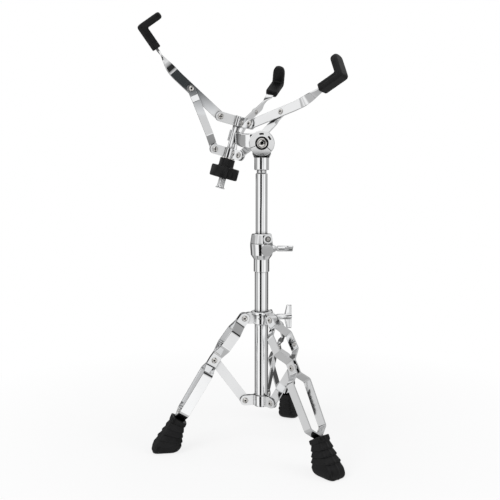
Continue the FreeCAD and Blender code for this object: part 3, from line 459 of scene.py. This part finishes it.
def evenly(path, count):
    """Points spaced evenly along a closed path."""
    runs = [(b - a).length for a, b in zip(path, path[1:] + path[:1])]
    points = []
    i = 0
    walked = 0.0
    for k in range(count):
        target = sum(runs) * k / count
        while walked + runs[i] < target:
            walked += runs[i]
            i += 1
        points.append(path[i].lerp(path[(i + 1) % len(path)], (target - walked) / runs[i]))
    return points


def circle(place, radius, height, count, wobble=None):
    """Ring about the z axis of a placement; wobble changes the radius with the angle."""
    angles = [2 * pi * i / count for i in range(count)]
    radii = [radius + (wobble(angle) if wobble else 0.0) for angle in angles]
    return [place @ Vector((r * cos(angle), r * sin(angle), height)) for angle, r in zip(angles, radii)]


def lathe(place, profile, count, wobble=None):
    """Rings of a profile, each step of which is a radius and a height."""
    return [circle(place, radius, height, count, wobble) for radius, height in profile]


def stepped(radius, base, steps):
    """Profile from steps in millimetres: how far each is drawn in and how high it lies above the base."""
    return [(radius - less / 1000, base + rise / 1000) for less, rise in steps]


print("ring helpers ready")

# %% Piece helpers
sides = ("left", "right", "rear")


def skin(bm, rings, hollow=False):
    """Join equal rings of points into one closed surface."""
    loops = [[bm.verts.new(point) for point in ring] for ring in rings]
    pairs = list(zip(loops, loops[1:]))
    if hollow:
        pairs.append((loops[-1], loops[0]))
    else:
        bm.faces.new(list(reversed(loops[0])))
        bm.faces.new(loops[-1])
    for low_loop, high_loop in pairs:
        for i in range(len(low_loop)):
            j = (i + 1) % len(low_loop)
            bm.faces.new((low_loop[i], low_loop[j], high_loop[j], high_loop[i]))


def made(name, bm, body, slot, replaced, smooth_below=35):
    """Turn a finished surface into a piece that rides on a body and stands for CAD nodes."""
    bmesh.ops.recalc_face_normals(bm, faces=bm.faces)
    mesh = bpy.data.meshes.new(name)
    bm.to_mesh(mesh)
    bm.free()
    mesh.shade_smooth()
    mesh.set_sharp_from_angle(angle=radians(smooth_below))
    mesh.materials.append(finishes[slot])
    piece = bpy.data.objects.new(name, mesh)
    bpy.context.scene.collection.objects.link(piece)
    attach(piece, body)
    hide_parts(*replaced)


def middle(node):
    """Centre of a CAD node's box."""
    low_corner, high_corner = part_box(node)
    return (Vector(low_corner) + Vector(high_corner)) / 2


def placement(origin, x_axis, z_axis):
    """Matrix with an origin and two directions at right angles."""
    y_axis = z_axis.cross(x_axis)
    matrix = Matrix((x_axis, y_axis, z_axis)).transposed().to_4x4()
    matrix.translation = origin
    return matrix


print("piece helpers ready")

# %% [markdown]
# ## Boots
#
# Each leg ends in a rubber boot: a cuff round the two strips, four skirts that flare and overhang one
# another like a folded bellows, and a broad rounded sole. A thin mould line runs down its outer face.
# A revolve can't make it, because the boot leans with the leg and its outline is a rounded oblong. So
# it is skinned from rings whose tilt eases from square to the leg, at the cuff, to level at the
# floor.

# %% Boot rings
mouth_depth, mouth_breadth = 0.0225, 0.0080
cuff_depth, cuff_breadth, cuff_height = 0.032, 0.031, 0.008
waist_depth, waist_breadth = 0.029, 0.028
sole_depth, sole_breadth, sole_height = 0.0515, 0.0415, 0.013
skirts = 4
skirt_flare = 0.0034
flare_ease = 1.5

# Steps in millimetres: down from the cuff's top, or up from the floor, and how much a ring is drawn in.
mouth_steps = ((3.0, 1.0), (0.0, 0.0), (-0.4, -1.5))
cuff_steps = ((-0.4, 2.4), (-0.2, 1.2), (0.4, 0.4), (1.4, 0), (6.0, 0), (7.2, 0.5), (7.9, 1.6))
sole_steps = ((9.0, 0), (6.8, 0.4), (4.6, 1.8), (2.7, 4.2), (1.2, 7.6), (0.3, 11.5), (0.0, 15.0))
# Share of the way down a skirt, and share of the flare that it has there.
skirt_steps = ((0.06, 0.0), (0.30, 0.22), (0.62, 0.62), (0.86, 0.94), (0.98, 1.0), (1.06, 0.90),
               (1.05, 0.45))


def skirt_rows(skirt, top, length):
    """Rings of one skirt, from its waist to the lip that overhangs the next one."""
    narrow = (skirt / skirts) ** flare_ease
    wide = ((skirt + 1) / skirts) ** flare_ease
    waist = (between(waist_depth, sole_depth, narrow), between(waist_breadth, sole_breadth, narrow))
    lip = (min(between(waist_depth, sole_depth, wide) + skirt_flare, sole_depth),
           min(between(waist_breadth, sole_breadth, wide) + skirt_flare, sole_breadth))
    rows = []
    for share, flare in skirt_steps:
        if skirt + 1 < skirts or share < 1:
            rows.append((top + length * share, *[between(a, b, flare) for a, b in zip(waist, lip)]))
    return rows


def boot_rows(boot_height):
    """Share of the way down, depth and breadth of each ring, from inside the cuff to the sole."""
    millimetre = 0.001 / boot_height
    cuff_share = cuff_height / boot_height
    skirt_share = (1 - sole_height / boot_height - cuff_share) / skirts
    rows = []
    for down, less in mouth_steps:
        rows.append((down * millimetre, mouth_depth - less / 1000, mouth_breadth - less / 1000))
    for down, less in cuff_steps:
        rows.append((down * millimetre, cuff_depth - less / 1000, cuff_breadth - less / 1000))
    for skirt in range(skirts):
        rows += skirt_rows(skirt, cuff_share + skirt * skirt_share, skirt_share)
    for rise, less in sole_steps:
        rows.append((1 - rise * millimetre, sole_depth - less / 1000, sole_breadth - less / 1000))
    return rows


print("boots with", skirts, "skirts")

# %% Boots
shin_lean = radians(31.0)
cuff_start = 0.129
sole_radius = 0.1850
boot_corner_share = 0.36
seam_corner = 0.0001
mould_line = 0.0011
boot_points = 96
mould_points = ((0, 1.0), (1, 0.4), (boot_points - 1, 0.4))
# Rings narrower than this lie inside the cuff and have no mould line.
inside_cuff = 0.02

for side in sides:
    sideways = Vector(joints[side + "_leg_fold"]["axis"]).normalized()
    outward = sideways.cross(up)
    knee = middle(side + "_knee_rivet")
    cuff = knee + (outward * sin(shin_lean) - up * cos(shin_lean)) * cuff_start
    sole = outward * sole_radius
    rings = []
    for share, depth, breadth in boot_rows(cuff.z):
        lean = shin_lean * (1 - share)
        deep = outward * cos(lean) + up * sin(lean)
        corner = boot_corner_share * breadth
        half, wide = depth / 2, breadth / 2
        oblong = [(half, 0, seam_corner), (half, wide, corner), (-half, wide, corner),
                  (-half, -wide, corner), (half, -wide, corner)]
        loop = evenly(rounded_path(oblong, steps=8), boot_points)
        if breadth > inside_cuff:
            for point, raised in mould_points:
                loop[point].x += mould_line * raised
        rings.append([cuff.lerp(sole, share) + deep * p.x + sideways * p.y for p in loop])
    bm = bmesh.new()
    skin(bm, rings)
    made(side + "_ribbed_boot", bm, side + "_leg", "black_rubber", [side + "_boot"], smooth_below=50)
print("boots of", len(rings), "rings")

# %% [markdown]
# ## Basket arms
#
# An arm is one flat bar. At its pivot it stands on edge, to carry the drum without bending, and at
# its end it lies flat, for the grip to be pushed on, so it gets a quarter twist on the way. Lofting a
# few sections makes a twist look folded. Here a small rounded oblong travels along the arm's middle
# line and each ring is turned a little further than the last, gently at first and at the end, as a
# bar twisted in a vice.

# %% Arm rings
arm_rise = radians(26.5)
arm_width, arm_thickness, arm_edge = 0.018, 0.003, 0.0004
tongue_width = 0.015
bend_start, bend_length, bend_angle = 0.104, 0.036, radians(12.7)
twist_from, twist_to = 0.112, 0.168


def arm_frame(side):
    """Placement at an arm's pivot: x along the arm, y across its hinge, z towards the drum."""
    hinge = joints[side + "_arm_swing"]
    across = -Vector(hinge["axis"]).normalized()
    axis = Vector(joints["yoke_slide"]["axis"]).normalized()
    along = across.cross(axis) * cos(arm_rise) + axis * sin(arm_rise)
    return placement(Vector(hinge["pos_m"]), along, along.cross(across))


def along_arm(reach):
    """Placement on the arm's middle line, which bends upwards between two straight runs."""
    turned = bend_angle * min(1.0, max(0.0, (reach - bend_start) / bend_length))
    bend_radius = bend_length / bend_angle
    past = max(0.0, reach - bend_start - bend_length)
    x = min(reach, bend_start) + bend_radius * sin(turned) + past * cos(turned)
    z = bend_radius * (1 - cos(turned)) + past * sin(turned)
    return Matrix.Translation((x, 0, z)) @ Matrix.Rotation(-turned, 4, "Y")


def bar_ring(place, reach):
    """Section of the bar at a distance from the pivot, turned by its share of the quarter twist."""
    share = min(1.0, max(0.0, (reach - twist_from) / (twist_to - twist_from)))
    share = share * share * (3 - 2 * share)
    half = arm_thickness / 2
    side = between(arm_width, tongue_width, share) / 2
    corners = ((half, side), (-half, side), (-half, -side), (half, -side))
    section = rounded_path([(x, y, arm_edge) for x, y in corners], steps=1)
    turned = place @ along_arm(reach) @ Matrix.Rotation(share * pi / 2, 4, "X")
    return [turned @ Vector((0, p.x, p.y)) for p in section]


def eye_edge(inset):
    """Outline of the eye about its bore: round behind, straight sides, square where the bar begins."""
    def radius(angle):
        if cos(angle) <= tiny:
            return arm_width / 2 - inset
        return min((arm_width / 2 - inset) / max(abs(sin(angle)), tiny), arm_width / 2 / cos(angle))
    return radius


print("arms twist over", round(twist_to - twist_from, 3), "metres")

# %% Basket arms
arm_end = 0.190
eye_bore = 0.0029
eye_points = 48
twist_rings = 44

half = arm_thickness / 2
eye_rows = ((-half, arm_edge), (arm_edge - half, 0), (half - arm_edge, 0), (half, arm_edge))
for side in sides:
    place = arm_frame(side)
    bm = bmesh.new()
    twist = [between(bend_start, twist_to, i / twist_rings) for i in range(twist_rings + 1)]
    skin(bm, [bar_ring(place, reach) for reach in [arm_width / 2, *twist, arm_end]])
    eye = placement(place.translation, place.col[0].to_3d(), place.col[1].to_3d())
    rings = [circle(eye, eye_bore, -half, eye_points)]
    rings += [circle(eye, 0, height, eye_points, eye_edge(inset)) for height, inset in eye_rows]
    rings.append(circle(eye, eye_bore, half, eye_points))
    skin(bm, rings, hollow=True)
    made(side + "_twisted_arm", bm, side + "_arm", "chrome_plate", [side + "_arm"], smooth_below=20)
print("arms with", twist_rings, "rings in each twist")

# %% [markdown]
# ## Grips
#
# A grip is a rubber L that is pushed over the end of an arm and hooks round the drum's hoop. Seen
# from the side it is a plain L; seen from inside, its tip is round. It is skinned across its breadth:
# every ring is the same L, a little smaller near the two sides, and a little shorter where the tip
# rounds off. A shallow sunk panel on each side copies the border that the moulding shows in the
# photograph.

# %% Grips
grip_start, grip_length = 0.030, 0.052
grip_thickness, grip_breadth = 0.0145, 0.0255
hook_length, hook_thickness = 0.0485, 0.013
tip_radius = 0.0120
grip_edge = 0.0050
edge_steps = 5
mouth_corner, heel_corner, tip_corner, crook_corner = 0.0022, 0.0065, 0.0055, 0.0030
panel_sink, panel_border, panel_slope = 0.0004, 0.0004, 0.0005


def grip_outline(across, inset):
    """The L of one ring, given how far it lies from the middle and how much it is drawn in."""
    past = max(0.0, abs(across) - (grip_breadth / 2 - tip_radius))
    round_off = tip_radius - sqrt(max(0.0, tip_radius ** 2 - past ** 2))
    tip = hook_length - grip_thickness / 2 - round_off - inset
    start, end = grip_start + inset, grip_start + grip_length - inset
    inner = grip_start + grip_length - hook_thickness + inset
    below, above = -grip_thickness / 2 + inset, grip_thickness / 2 - inset
    return [(start, below, mouth_corner), (end, below, heel_corner), (end, tip, tip_corner),
            (inner, tip, tip_corner), (inner, above, crook_corner), (start, above, mouth_corner)]


half_breadth = grip_breadth / 2
edge_turns = [pi / 2 * (1 - step / edge_steps) for step in range(edge_steps + 1)]
half_rows = [(half_breadth - panel_sink, grip_edge + panel_border + panel_slope),
             (half_breadth, grip_edge + panel_border)]
half_rows += [(half_breadth - grip_edge * (1 - sin(t)), grip_edge * (1 - cos(t))) for t in edge_turns]
half_rows += [(half_breadth / 2, 0.0), (half_breadth / 4, 0.0)]
grip_rows = [(-y, inset) for y, inset in half_rows] + [(0.0, 0.0)] + half_rows[::-1]
for side in sides:
    place = arm_frame(side) @ along_arm(bend_start + bend_length)
    rings = []
    for y, inset in grip_rows:
        outline = grip_outline(y, inset)
        rings.append([place @ Vector((p.x, y, p.y)) for p in rounded_path(outline, steps=5)])
    bm = bmesh.new()
    skin(bm, rings)
    made(side + "_hook_grip", bm, side + "_arm", "black_rubber", [side + "_grip"], smooth_below=40)
print("grips of", len(grip_rows), "rings")

# %% [markdown]
# ## Tension knob
#
# The knob that tightens the basket has a round hub and a broad grip of three lobes, parted by grooves
# for the fingers. The grooves are worked out, not cut: each ring asks how far out a groove lets it
# go. That keeps the edge loops clean, so that the soft edges at the top and bottom follow the grooves
# round.

# %% Tension knob
knob_radius, knob_height = 0.0275, 0.022
hub_radius, hub_height = 0.0146, 0.016
knob_bore, bore_chamfer, chamfer_depth = 0.0074, 0.005, 0.002
groove_radius, groove_depth = 0.009, 0.0045
first_groove = radians(60)
washer_to_knob = 0.0012
knob_points = 144
# Steps in millimetres: how far each ring is drawn in, and its height from the knob's foot or hub's top.
lobe_steps = ((2.4, 0), (1.3, 0.3), (0.4, 1.0), (0, 2.2), (0, 11.0), (0, 19.8), (0.4, 21.0), (1.3, 21.7),
              (2.4, 22.0))
hub_steps = ((-2.2, -16.0), (-0.9, -15.6), (-0.2, -14.6), (0, -13.0), (0, -1.6), (0.4, -0.5), (1.6, 0.0))

axis = Vector(joints["yoke_slide"]["axis"]).normalized()
front = Vector((0, 1, 0)).cross(axis).normalized()
washer_middle = middle("yoke_washer")
knob_place = placement(washer_middle - axis * washer_to_knob, front, axis)


def lobes(angle):
    """How much the grooves take off the knob's radius at an angle."""
    turn = (angle - first_groove + pi / 3) % (2 * pi / 3) - pi / 3
    centre = knob_radius + groove_radius - groove_depth
    gap = groove_radius ** 2 - (centre * sin(turn)) ** 2
    if gap <= 0:
        return 0.0
    return min(0.0, centre * cos(turn) - sqrt(gap) - knob_radius)


knob_foot = -hub_height - knob_height
knob_mouth = [(knob_bore, knob_foot + chamfer_depth), (knob_bore + bore_chamfer, knob_foot)]
rings = lathe(knob_place, knob_mouth, knob_points)
rings += lathe(knob_place, stepped(knob_radius, knob_foot, lobe_steps), knob_points, lobes)
rings += lathe(knob_place, stepped(hub_radius, 0.0, hub_steps) + [(knob_bore, 0.0)], knob_points)
bm = bmesh.new()
skin(bm, rings, hollow=True)
made("lobed_knob", bm, "knob", "black_plastic", ["tension_knob"], smooth_below=40)
print("knob of", len(rings), "rings")

# %% [markdown]
# ## Wing bolts
#
# Two wing bolts clamp the leg collar and the height. Each is cast in one piece: a barrel with a
# groove near its seat, and two blades that thin towards their tips. The barrel is a revolve. The
# blades are skinned along their span, so width and thickness can change from ring to ring. The place,
# reach and turn of each bolt are read from its CAD node, because each bolt stands at an angle of its
# own.

# %% Wing bolt rings
wing_half_span = 0.0225
wing_root, wing_tip = 0.0145, 0.0095
blade_root, blade_tip = 0.0050, 0.0034
wing_corner, corner_share = 0.0014, 0.8
tip_share = 0.9


def bolt_frame(node, joint):
    """Placement on a bolt's axis, with x along its wings, and where the bolt begins and ends."""
    along = Vector(joints[joint]["axis"]).normalized()
    start = Vector(joints[joint]["pos_m"])
    points = [vertex.co - start for vertex in nodes[node].data.vertices]
    across = [point - along * point.dot(along) for point in points]
    widest = max(across, key=lambda point: point.length)
    tips = [point for point in across if point.dot(widest) > tip_share * widest.length_squared]
    reach = [point.dot(along) for point in points]
    return placement(start, sum(tips, Vector()).normalized(), along), min(reach), max(reach)


def blade_ring(place, share, inset, end):
    """Section of the wings at a share of their half span, drawn in near the tips."""
    near = end - between(wing_root, wing_tip, abs(share)) + inset
    far = end - inset
    half = between(blade_root, blade_tip, abs(share)) / 2 - inset
    corner = min(wing_corner, half * corner_share)
    outline = [(x, y, corner) for x, y in ((near, -half), (far, -half), (far, half), (near, half))]
    return [place @ Vector((wing_half_span * share, p.y, p.x)) for p in rounded_path(outline, steps=3)]


print("wings span", 2 * wing_half_span, "metres")

# %% Wing bolts
barrel_length, barrel_radius = 0.033, 0.0052
neck_radius, neck_from, neck_to = 0.0039, 0.0024, 0.0044
stud_radius = 0.0035
bolt_points = 48
# Steps in millimetres: how far each ring is drawn in, and its distance from the seat.
flange_steps = ((0.4, 0.0), (0, 0.4), (0, 1.8), (0.3, 2.2))
barrel_steps = ((0.4, 4.6), (0, 5.2), (0, 31.6), (0.4, 32.5), (1.4, 33.0))
# Share of the half span, and how much a ring is drawn in there.
tip_rows = [(1.0, 0.0012), (0.988, 0.0005), (0.962, 0.0001), (0.93, 0.0)]

blade_rows = [(-share, inset) for share, inset in tip_rows] + [(0.0, 0.0)] + tip_rows[::-1]
for node, joint in (("leg_wing_bolt", "leg_wing_turn"), ("height_wing_bolt", "height_wing_turn")):
    place, begin, end = bolt_frame(node, joint)
    seat = end - barrel_length
    profile = [(stud_radius, begin), (stud_radius, seat)]
    profile += stepped(barrel_radius, seat, flange_steps)
    profile += [(neck_radius, seat + neck_from), (neck_radius, seat + neck_to)]
    profile += stepped(barrel_radius, seat, barrel_steps)
    bm = bmesh.new()
    skin(bm, lathe(place, profile, bolt_points))
    skin(bm, [blade_ring(place, share, inset, end) for share, inset in blade_rows])
    made(node + "_cast", bm, node, "chrome_plate", [node])
print("two wing bolts")

# %% [markdown]
# ## Threaded post
#
# The knob climbs on a thread cut into the lower half of the hollow post. Real threads are cheap to
# make here: a ring whose radius depends on the angle, pushed along the axis, is a helix. Above the
# thread the post stays smooth, and at its foot a lip keeps the knob from coming off.

# %% Threaded post
post_radius, post_bore = 0.007, 0.0044
post_top, post_bottom = 0.0420, -0.1005
post_edge = 0.001
washer_height = -0.04065
thread_top, thread_bottom = -0.034, -0.097
thread_pitch, thread_depth = 0.0025, 0.0004
rings_per_turn = 6
lip_radius, lip_height, lip_edge, lip_root = 0.009, 0.002, 0.0005, 0.0003
post_points = 40

post_place = placement(washer_middle - axis * washer_height, front, axis)


def thread(height):
    """Radius change round the post at a height, fading out at both ends of the thread."""
    run = min(thread_top - height, height - thread_bottom) / thread_pitch
    depth = thread_depth * max(0.0, min(1.0, run))
    return lambda angle: -depth * (0.5 + 0.5 * cos(angle - 2 * pi * height / thread_pitch))


lip_top = post_bottom + lip_height
foot = [(post_bore, post_bottom), (lip_radius - lip_edge, post_bottom),
        (lip_radius, post_bottom + lip_edge), (lip_radius, lip_top - lip_edge),
        (lip_radius - lip_edge, lip_top), (post_radius + lip_root, lip_top)]
head = [(post_radius, thread_top), (post_radius, post_top - post_edge),
        (post_radius - post_edge, post_top), (post_bore, post_top)]
thread_rings = int((thread_top - thread_bottom) / thread_pitch * rings_per_turn)
rings = lathe(post_place, foot, post_points)
for i in range(thread_rings):
    height = thread_bottom + i * thread_pitch / rings_per_turn
    rings.append(circle(post_place, post_radius, height, post_points, thread(height)))
rings += lathe(post_place, head, post_points)
bm = bmesh.new()
skin(bm, rings, hollow=True)
made("threaded_post", bm, "basket", "chrome_plate", ["basket_post"], smooth_below=50)
print("post of", len(rings), "rings")

# %% [markdown]
# ## Rivets and screws
#
# The legs turn on semi-tubular rivets, whose heads are low domes with a small hole in the middle, and
# the basket turns on pan-head screws with a cross recess. They are only a few pixels wide, but their
# dark centres mark every pivot. A rivet is a plain revolve. For a screw the inner rings change from a
# circle to a cross and then sink, so that the recess is part of the same surface.

# %% Heads and pins
recess_depth = 0.0030
cross_foot, cross_top, cross_lip, cross_rim = (0.0018, 0.0005), (0.0030, 0.0008), 0.0002, 0.0034
hole_foot, hole_top, hole_lip, hole_rim = 0.0014, 0.0017, 0.0004, 0.0021
# Share of the head's radius, and share of its rise by which the dome has dropped there.
dome_steps = ((0.66, 0.03), (0.80, 0.14), (0.92, 0.36), (0.98, 0.62), (1.0, 0.85), (1.0, 1.0))
pin_points = 48


def cross(reach, half_width):
    """Outline of a cross recess as a change from a radius of zero."""
    def radius(angle):
        c, s = max(abs(cos(angle)), tiny), max(abs(sin(angle)), tiny)
        return max(min(reach / c, half_width / s), min(reach / s, half_width / c))
    return radius


def head_rings(place, head, rise, base, recess):
    """Rings from the bottom of the recess outwards over the dome to the underside of a head."""
    top = base + rise
    if recess == "cross":
        rings = [circle(place, 0, top - recess_depth, pin_points, cross(*cross_foot)),
                 circle(place, 0, top - cross_lip, pin_points, cross(*cross_top)),
                 circle(place, cross_rim, top, pin_points)]
    else:
        hole = [(hole_foot, top - recess_depth), (hole_top, top - hole_lip), (hole_rim, top)]
        rings = lathe(place, hole, pin_points)
    dome = [(head * share, base + rise * (1 - drop)) for share, drop in dome_steps]
    return rings + lathe(place, dome, pin_points)


def pin(bm, centre, direction, sizes, grip, recess):
    """One pin with a head at each end, added to a mesh; grip is the length between the heads."""
    head, rise, shank = sizes
    direction = direction.normalized()
    side_axis = direction.cross(up if abs(direction.z) < 0.9 else Vector((1, 0, 0))).normalized()
    near = placement(centre, side_axis, direction)
    far = placement(centre, side_axis, -direction)
    rings = head_rings(near, head, rise, grip / 2, recess)
    rings += lathe(near, [(shank, grip / 2), (shank, -grip / 2)], pin_points)
    for ring in reversed(head_rings(far, head, rise, grip / 2, recess)):
        rings.append([ring[0]] + ring[:0:-1])
    skin(bm, rings)


print("pins of", pin_points, "points a ring")

# %% Rivets and screws
rivet_head, rivet_rise, rivet_shank = 0.0052, 0.0022, 0.0030
screw_head, screw_rise, screw_shank = 0.0054, 0.0026, 0.0025
strap_grip, lug_grip, knee_grip, strut_grip = 0.0086, 0.0162, 0.0105, 0.0066

rivets = (rivet_head, rivet_rise, rivet_shank)
strut_rivets = (rivet_head, rivet_rise, screw_shank)
screws = (screw_head, screw_rise, screw_shank)
groups = [("spider_rivets", "_brace_fold", "base", rivets, strap_grip, "hole"),
          ("leg_collar_rivets", "_leg_fold", "leg_collar", rivets, lug_grip, "hole"),
          ("collar_screws", "_arm_swing", "basket", screws, strap_grip, "cross"),
          ("yoke_screws", "_strut_swing", "yoke", screws, strap_grip, "cross")]
for node, suffix, body, sizes, grip, recess in groups:
    bm = bmesh.new()
    for side in sides:
        hinge = joints[side + suffix]
        pin(bm, Vector(hinge["pos_m"]), Vector(hinge["axis"]), sizes, grip, recess)
    made(node + "_detailed", bm, body, "plated_fasteners", [node])
singles = [("_knee_rivet", "_leg", "_leg_fold", rivets, knee_grip),
           ("_strut_rivet", "_arm", "_arm_swing", strut_rivets, strut_grip)]
for side in sides:
    for suffix, body, joint, sizes, grip in singles:
        node = side + suffix
        bm = bmesh.new()
        pin(bm, middle(node), Vector(joints[side + joint]["axis"]), sizes, grip, "hole")
        made(node + "_detailed", bm, side + body, "plated_fasteners", [node])
print("18 pivots with holes or cross recesses")

# %% [markdown]
# ## Tilter bolt and lock screw
#
# Two fasteners face the camera: the socket-head bolt of the tilter, and the memory lock's
# square-headed screw, which is turned with a drum key. Both change from a polygon to a circle between
# one ring and the next. The bolt's socket ends in the cone that a drill leaves, which breaks up its
# reflection.

# %% Tilter bolt and lock screw
socket_flats, socket_depth, socket_lip = 0.0062, 0.0070, 0.0004
drill_radius, drill_tip, drill_depth = 0.0026, 0.0003, 0.0080
bolt_shank = 0.0040
# Radius and height of the bolt's head, from the rim of its socket over a ring groove to its underside.
bolt_face = [(0.0041, 0.0), (0.0066, 0.0), (0.0069, -0.0004), (0.0073, -0.0004), (0.0076, 0.0),
             (0.0084, -0.0001), (0.0090, -0.0005), (0.0092, -0.0012), (0.0092, -0.0036),
             (bolt_shank, -0.0036)]
# Radius, or width of the square, and height of the lock screw.
screw_dimple = [(0.0008, -0.0014), (0.0011, 0.0)]
screw_square = [(0.0046, 0.0), (0.0051, -0.0005), (0.0051, -0.0024)]
lock_shank = [(0.0036, -0.0025), (0.0036, -0.0070)]


def polygon(across_flats, corners):
    """Outline of a regular polygon as a change from a radius of zero."""
    step = 2 * pi / corners
    return lambda angle: across_flats / 2 / cos((angle + step / 2) % step - step / 2)


def facing_camera(node):
    """Placement at the front of a node's box, with z towards the camera's side, and the box's depth."""
    low_corner, high_corner = (Vector(corner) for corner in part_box(node))
    face = (low_corner + high_corner) / 2
    face.y = low_corner.y
    return placement(face, Vector((1, 0, 0)), Vector((0, -1, 0))), high_corner.y - low_corner.y


place, depth = facing_camera("tilter_bolt")
rings = lathe(place, [(drill_tip, -drill_depth), (drill_radius, -socket_depth)], pin_points)
for height in (-socket_depth, -socket_lip):
    rings.append(circle(place, 0, height, pin_points, polygon(socket_flats, 6)))
rings += lathe(place, bolt_face + [(bolt_shank, -depth)], pin_points)
bm = bmesh.new()
skin(bm, rings)
made("tilter_bolt_detailed", bm, "upper_post", "plated_fasteners", ["tilter_bolt"])

place, depth = facing_camera("memory_lock_screw")
rings = lathe(place, screw_dimple, pin_points)
rings += [circle(place, 0, height, pin_points, polygon(width, 4)) for width, height in screw_square]
rings += lathe(place, lock_shank, pin_points)
bm = bmesh.new()
skin(bm, rings)
made("lock_screw_detailed", bm, "memory_lock", "plated_fasteners", ["memory_lock_screw"])
print("bolt and lock screw")
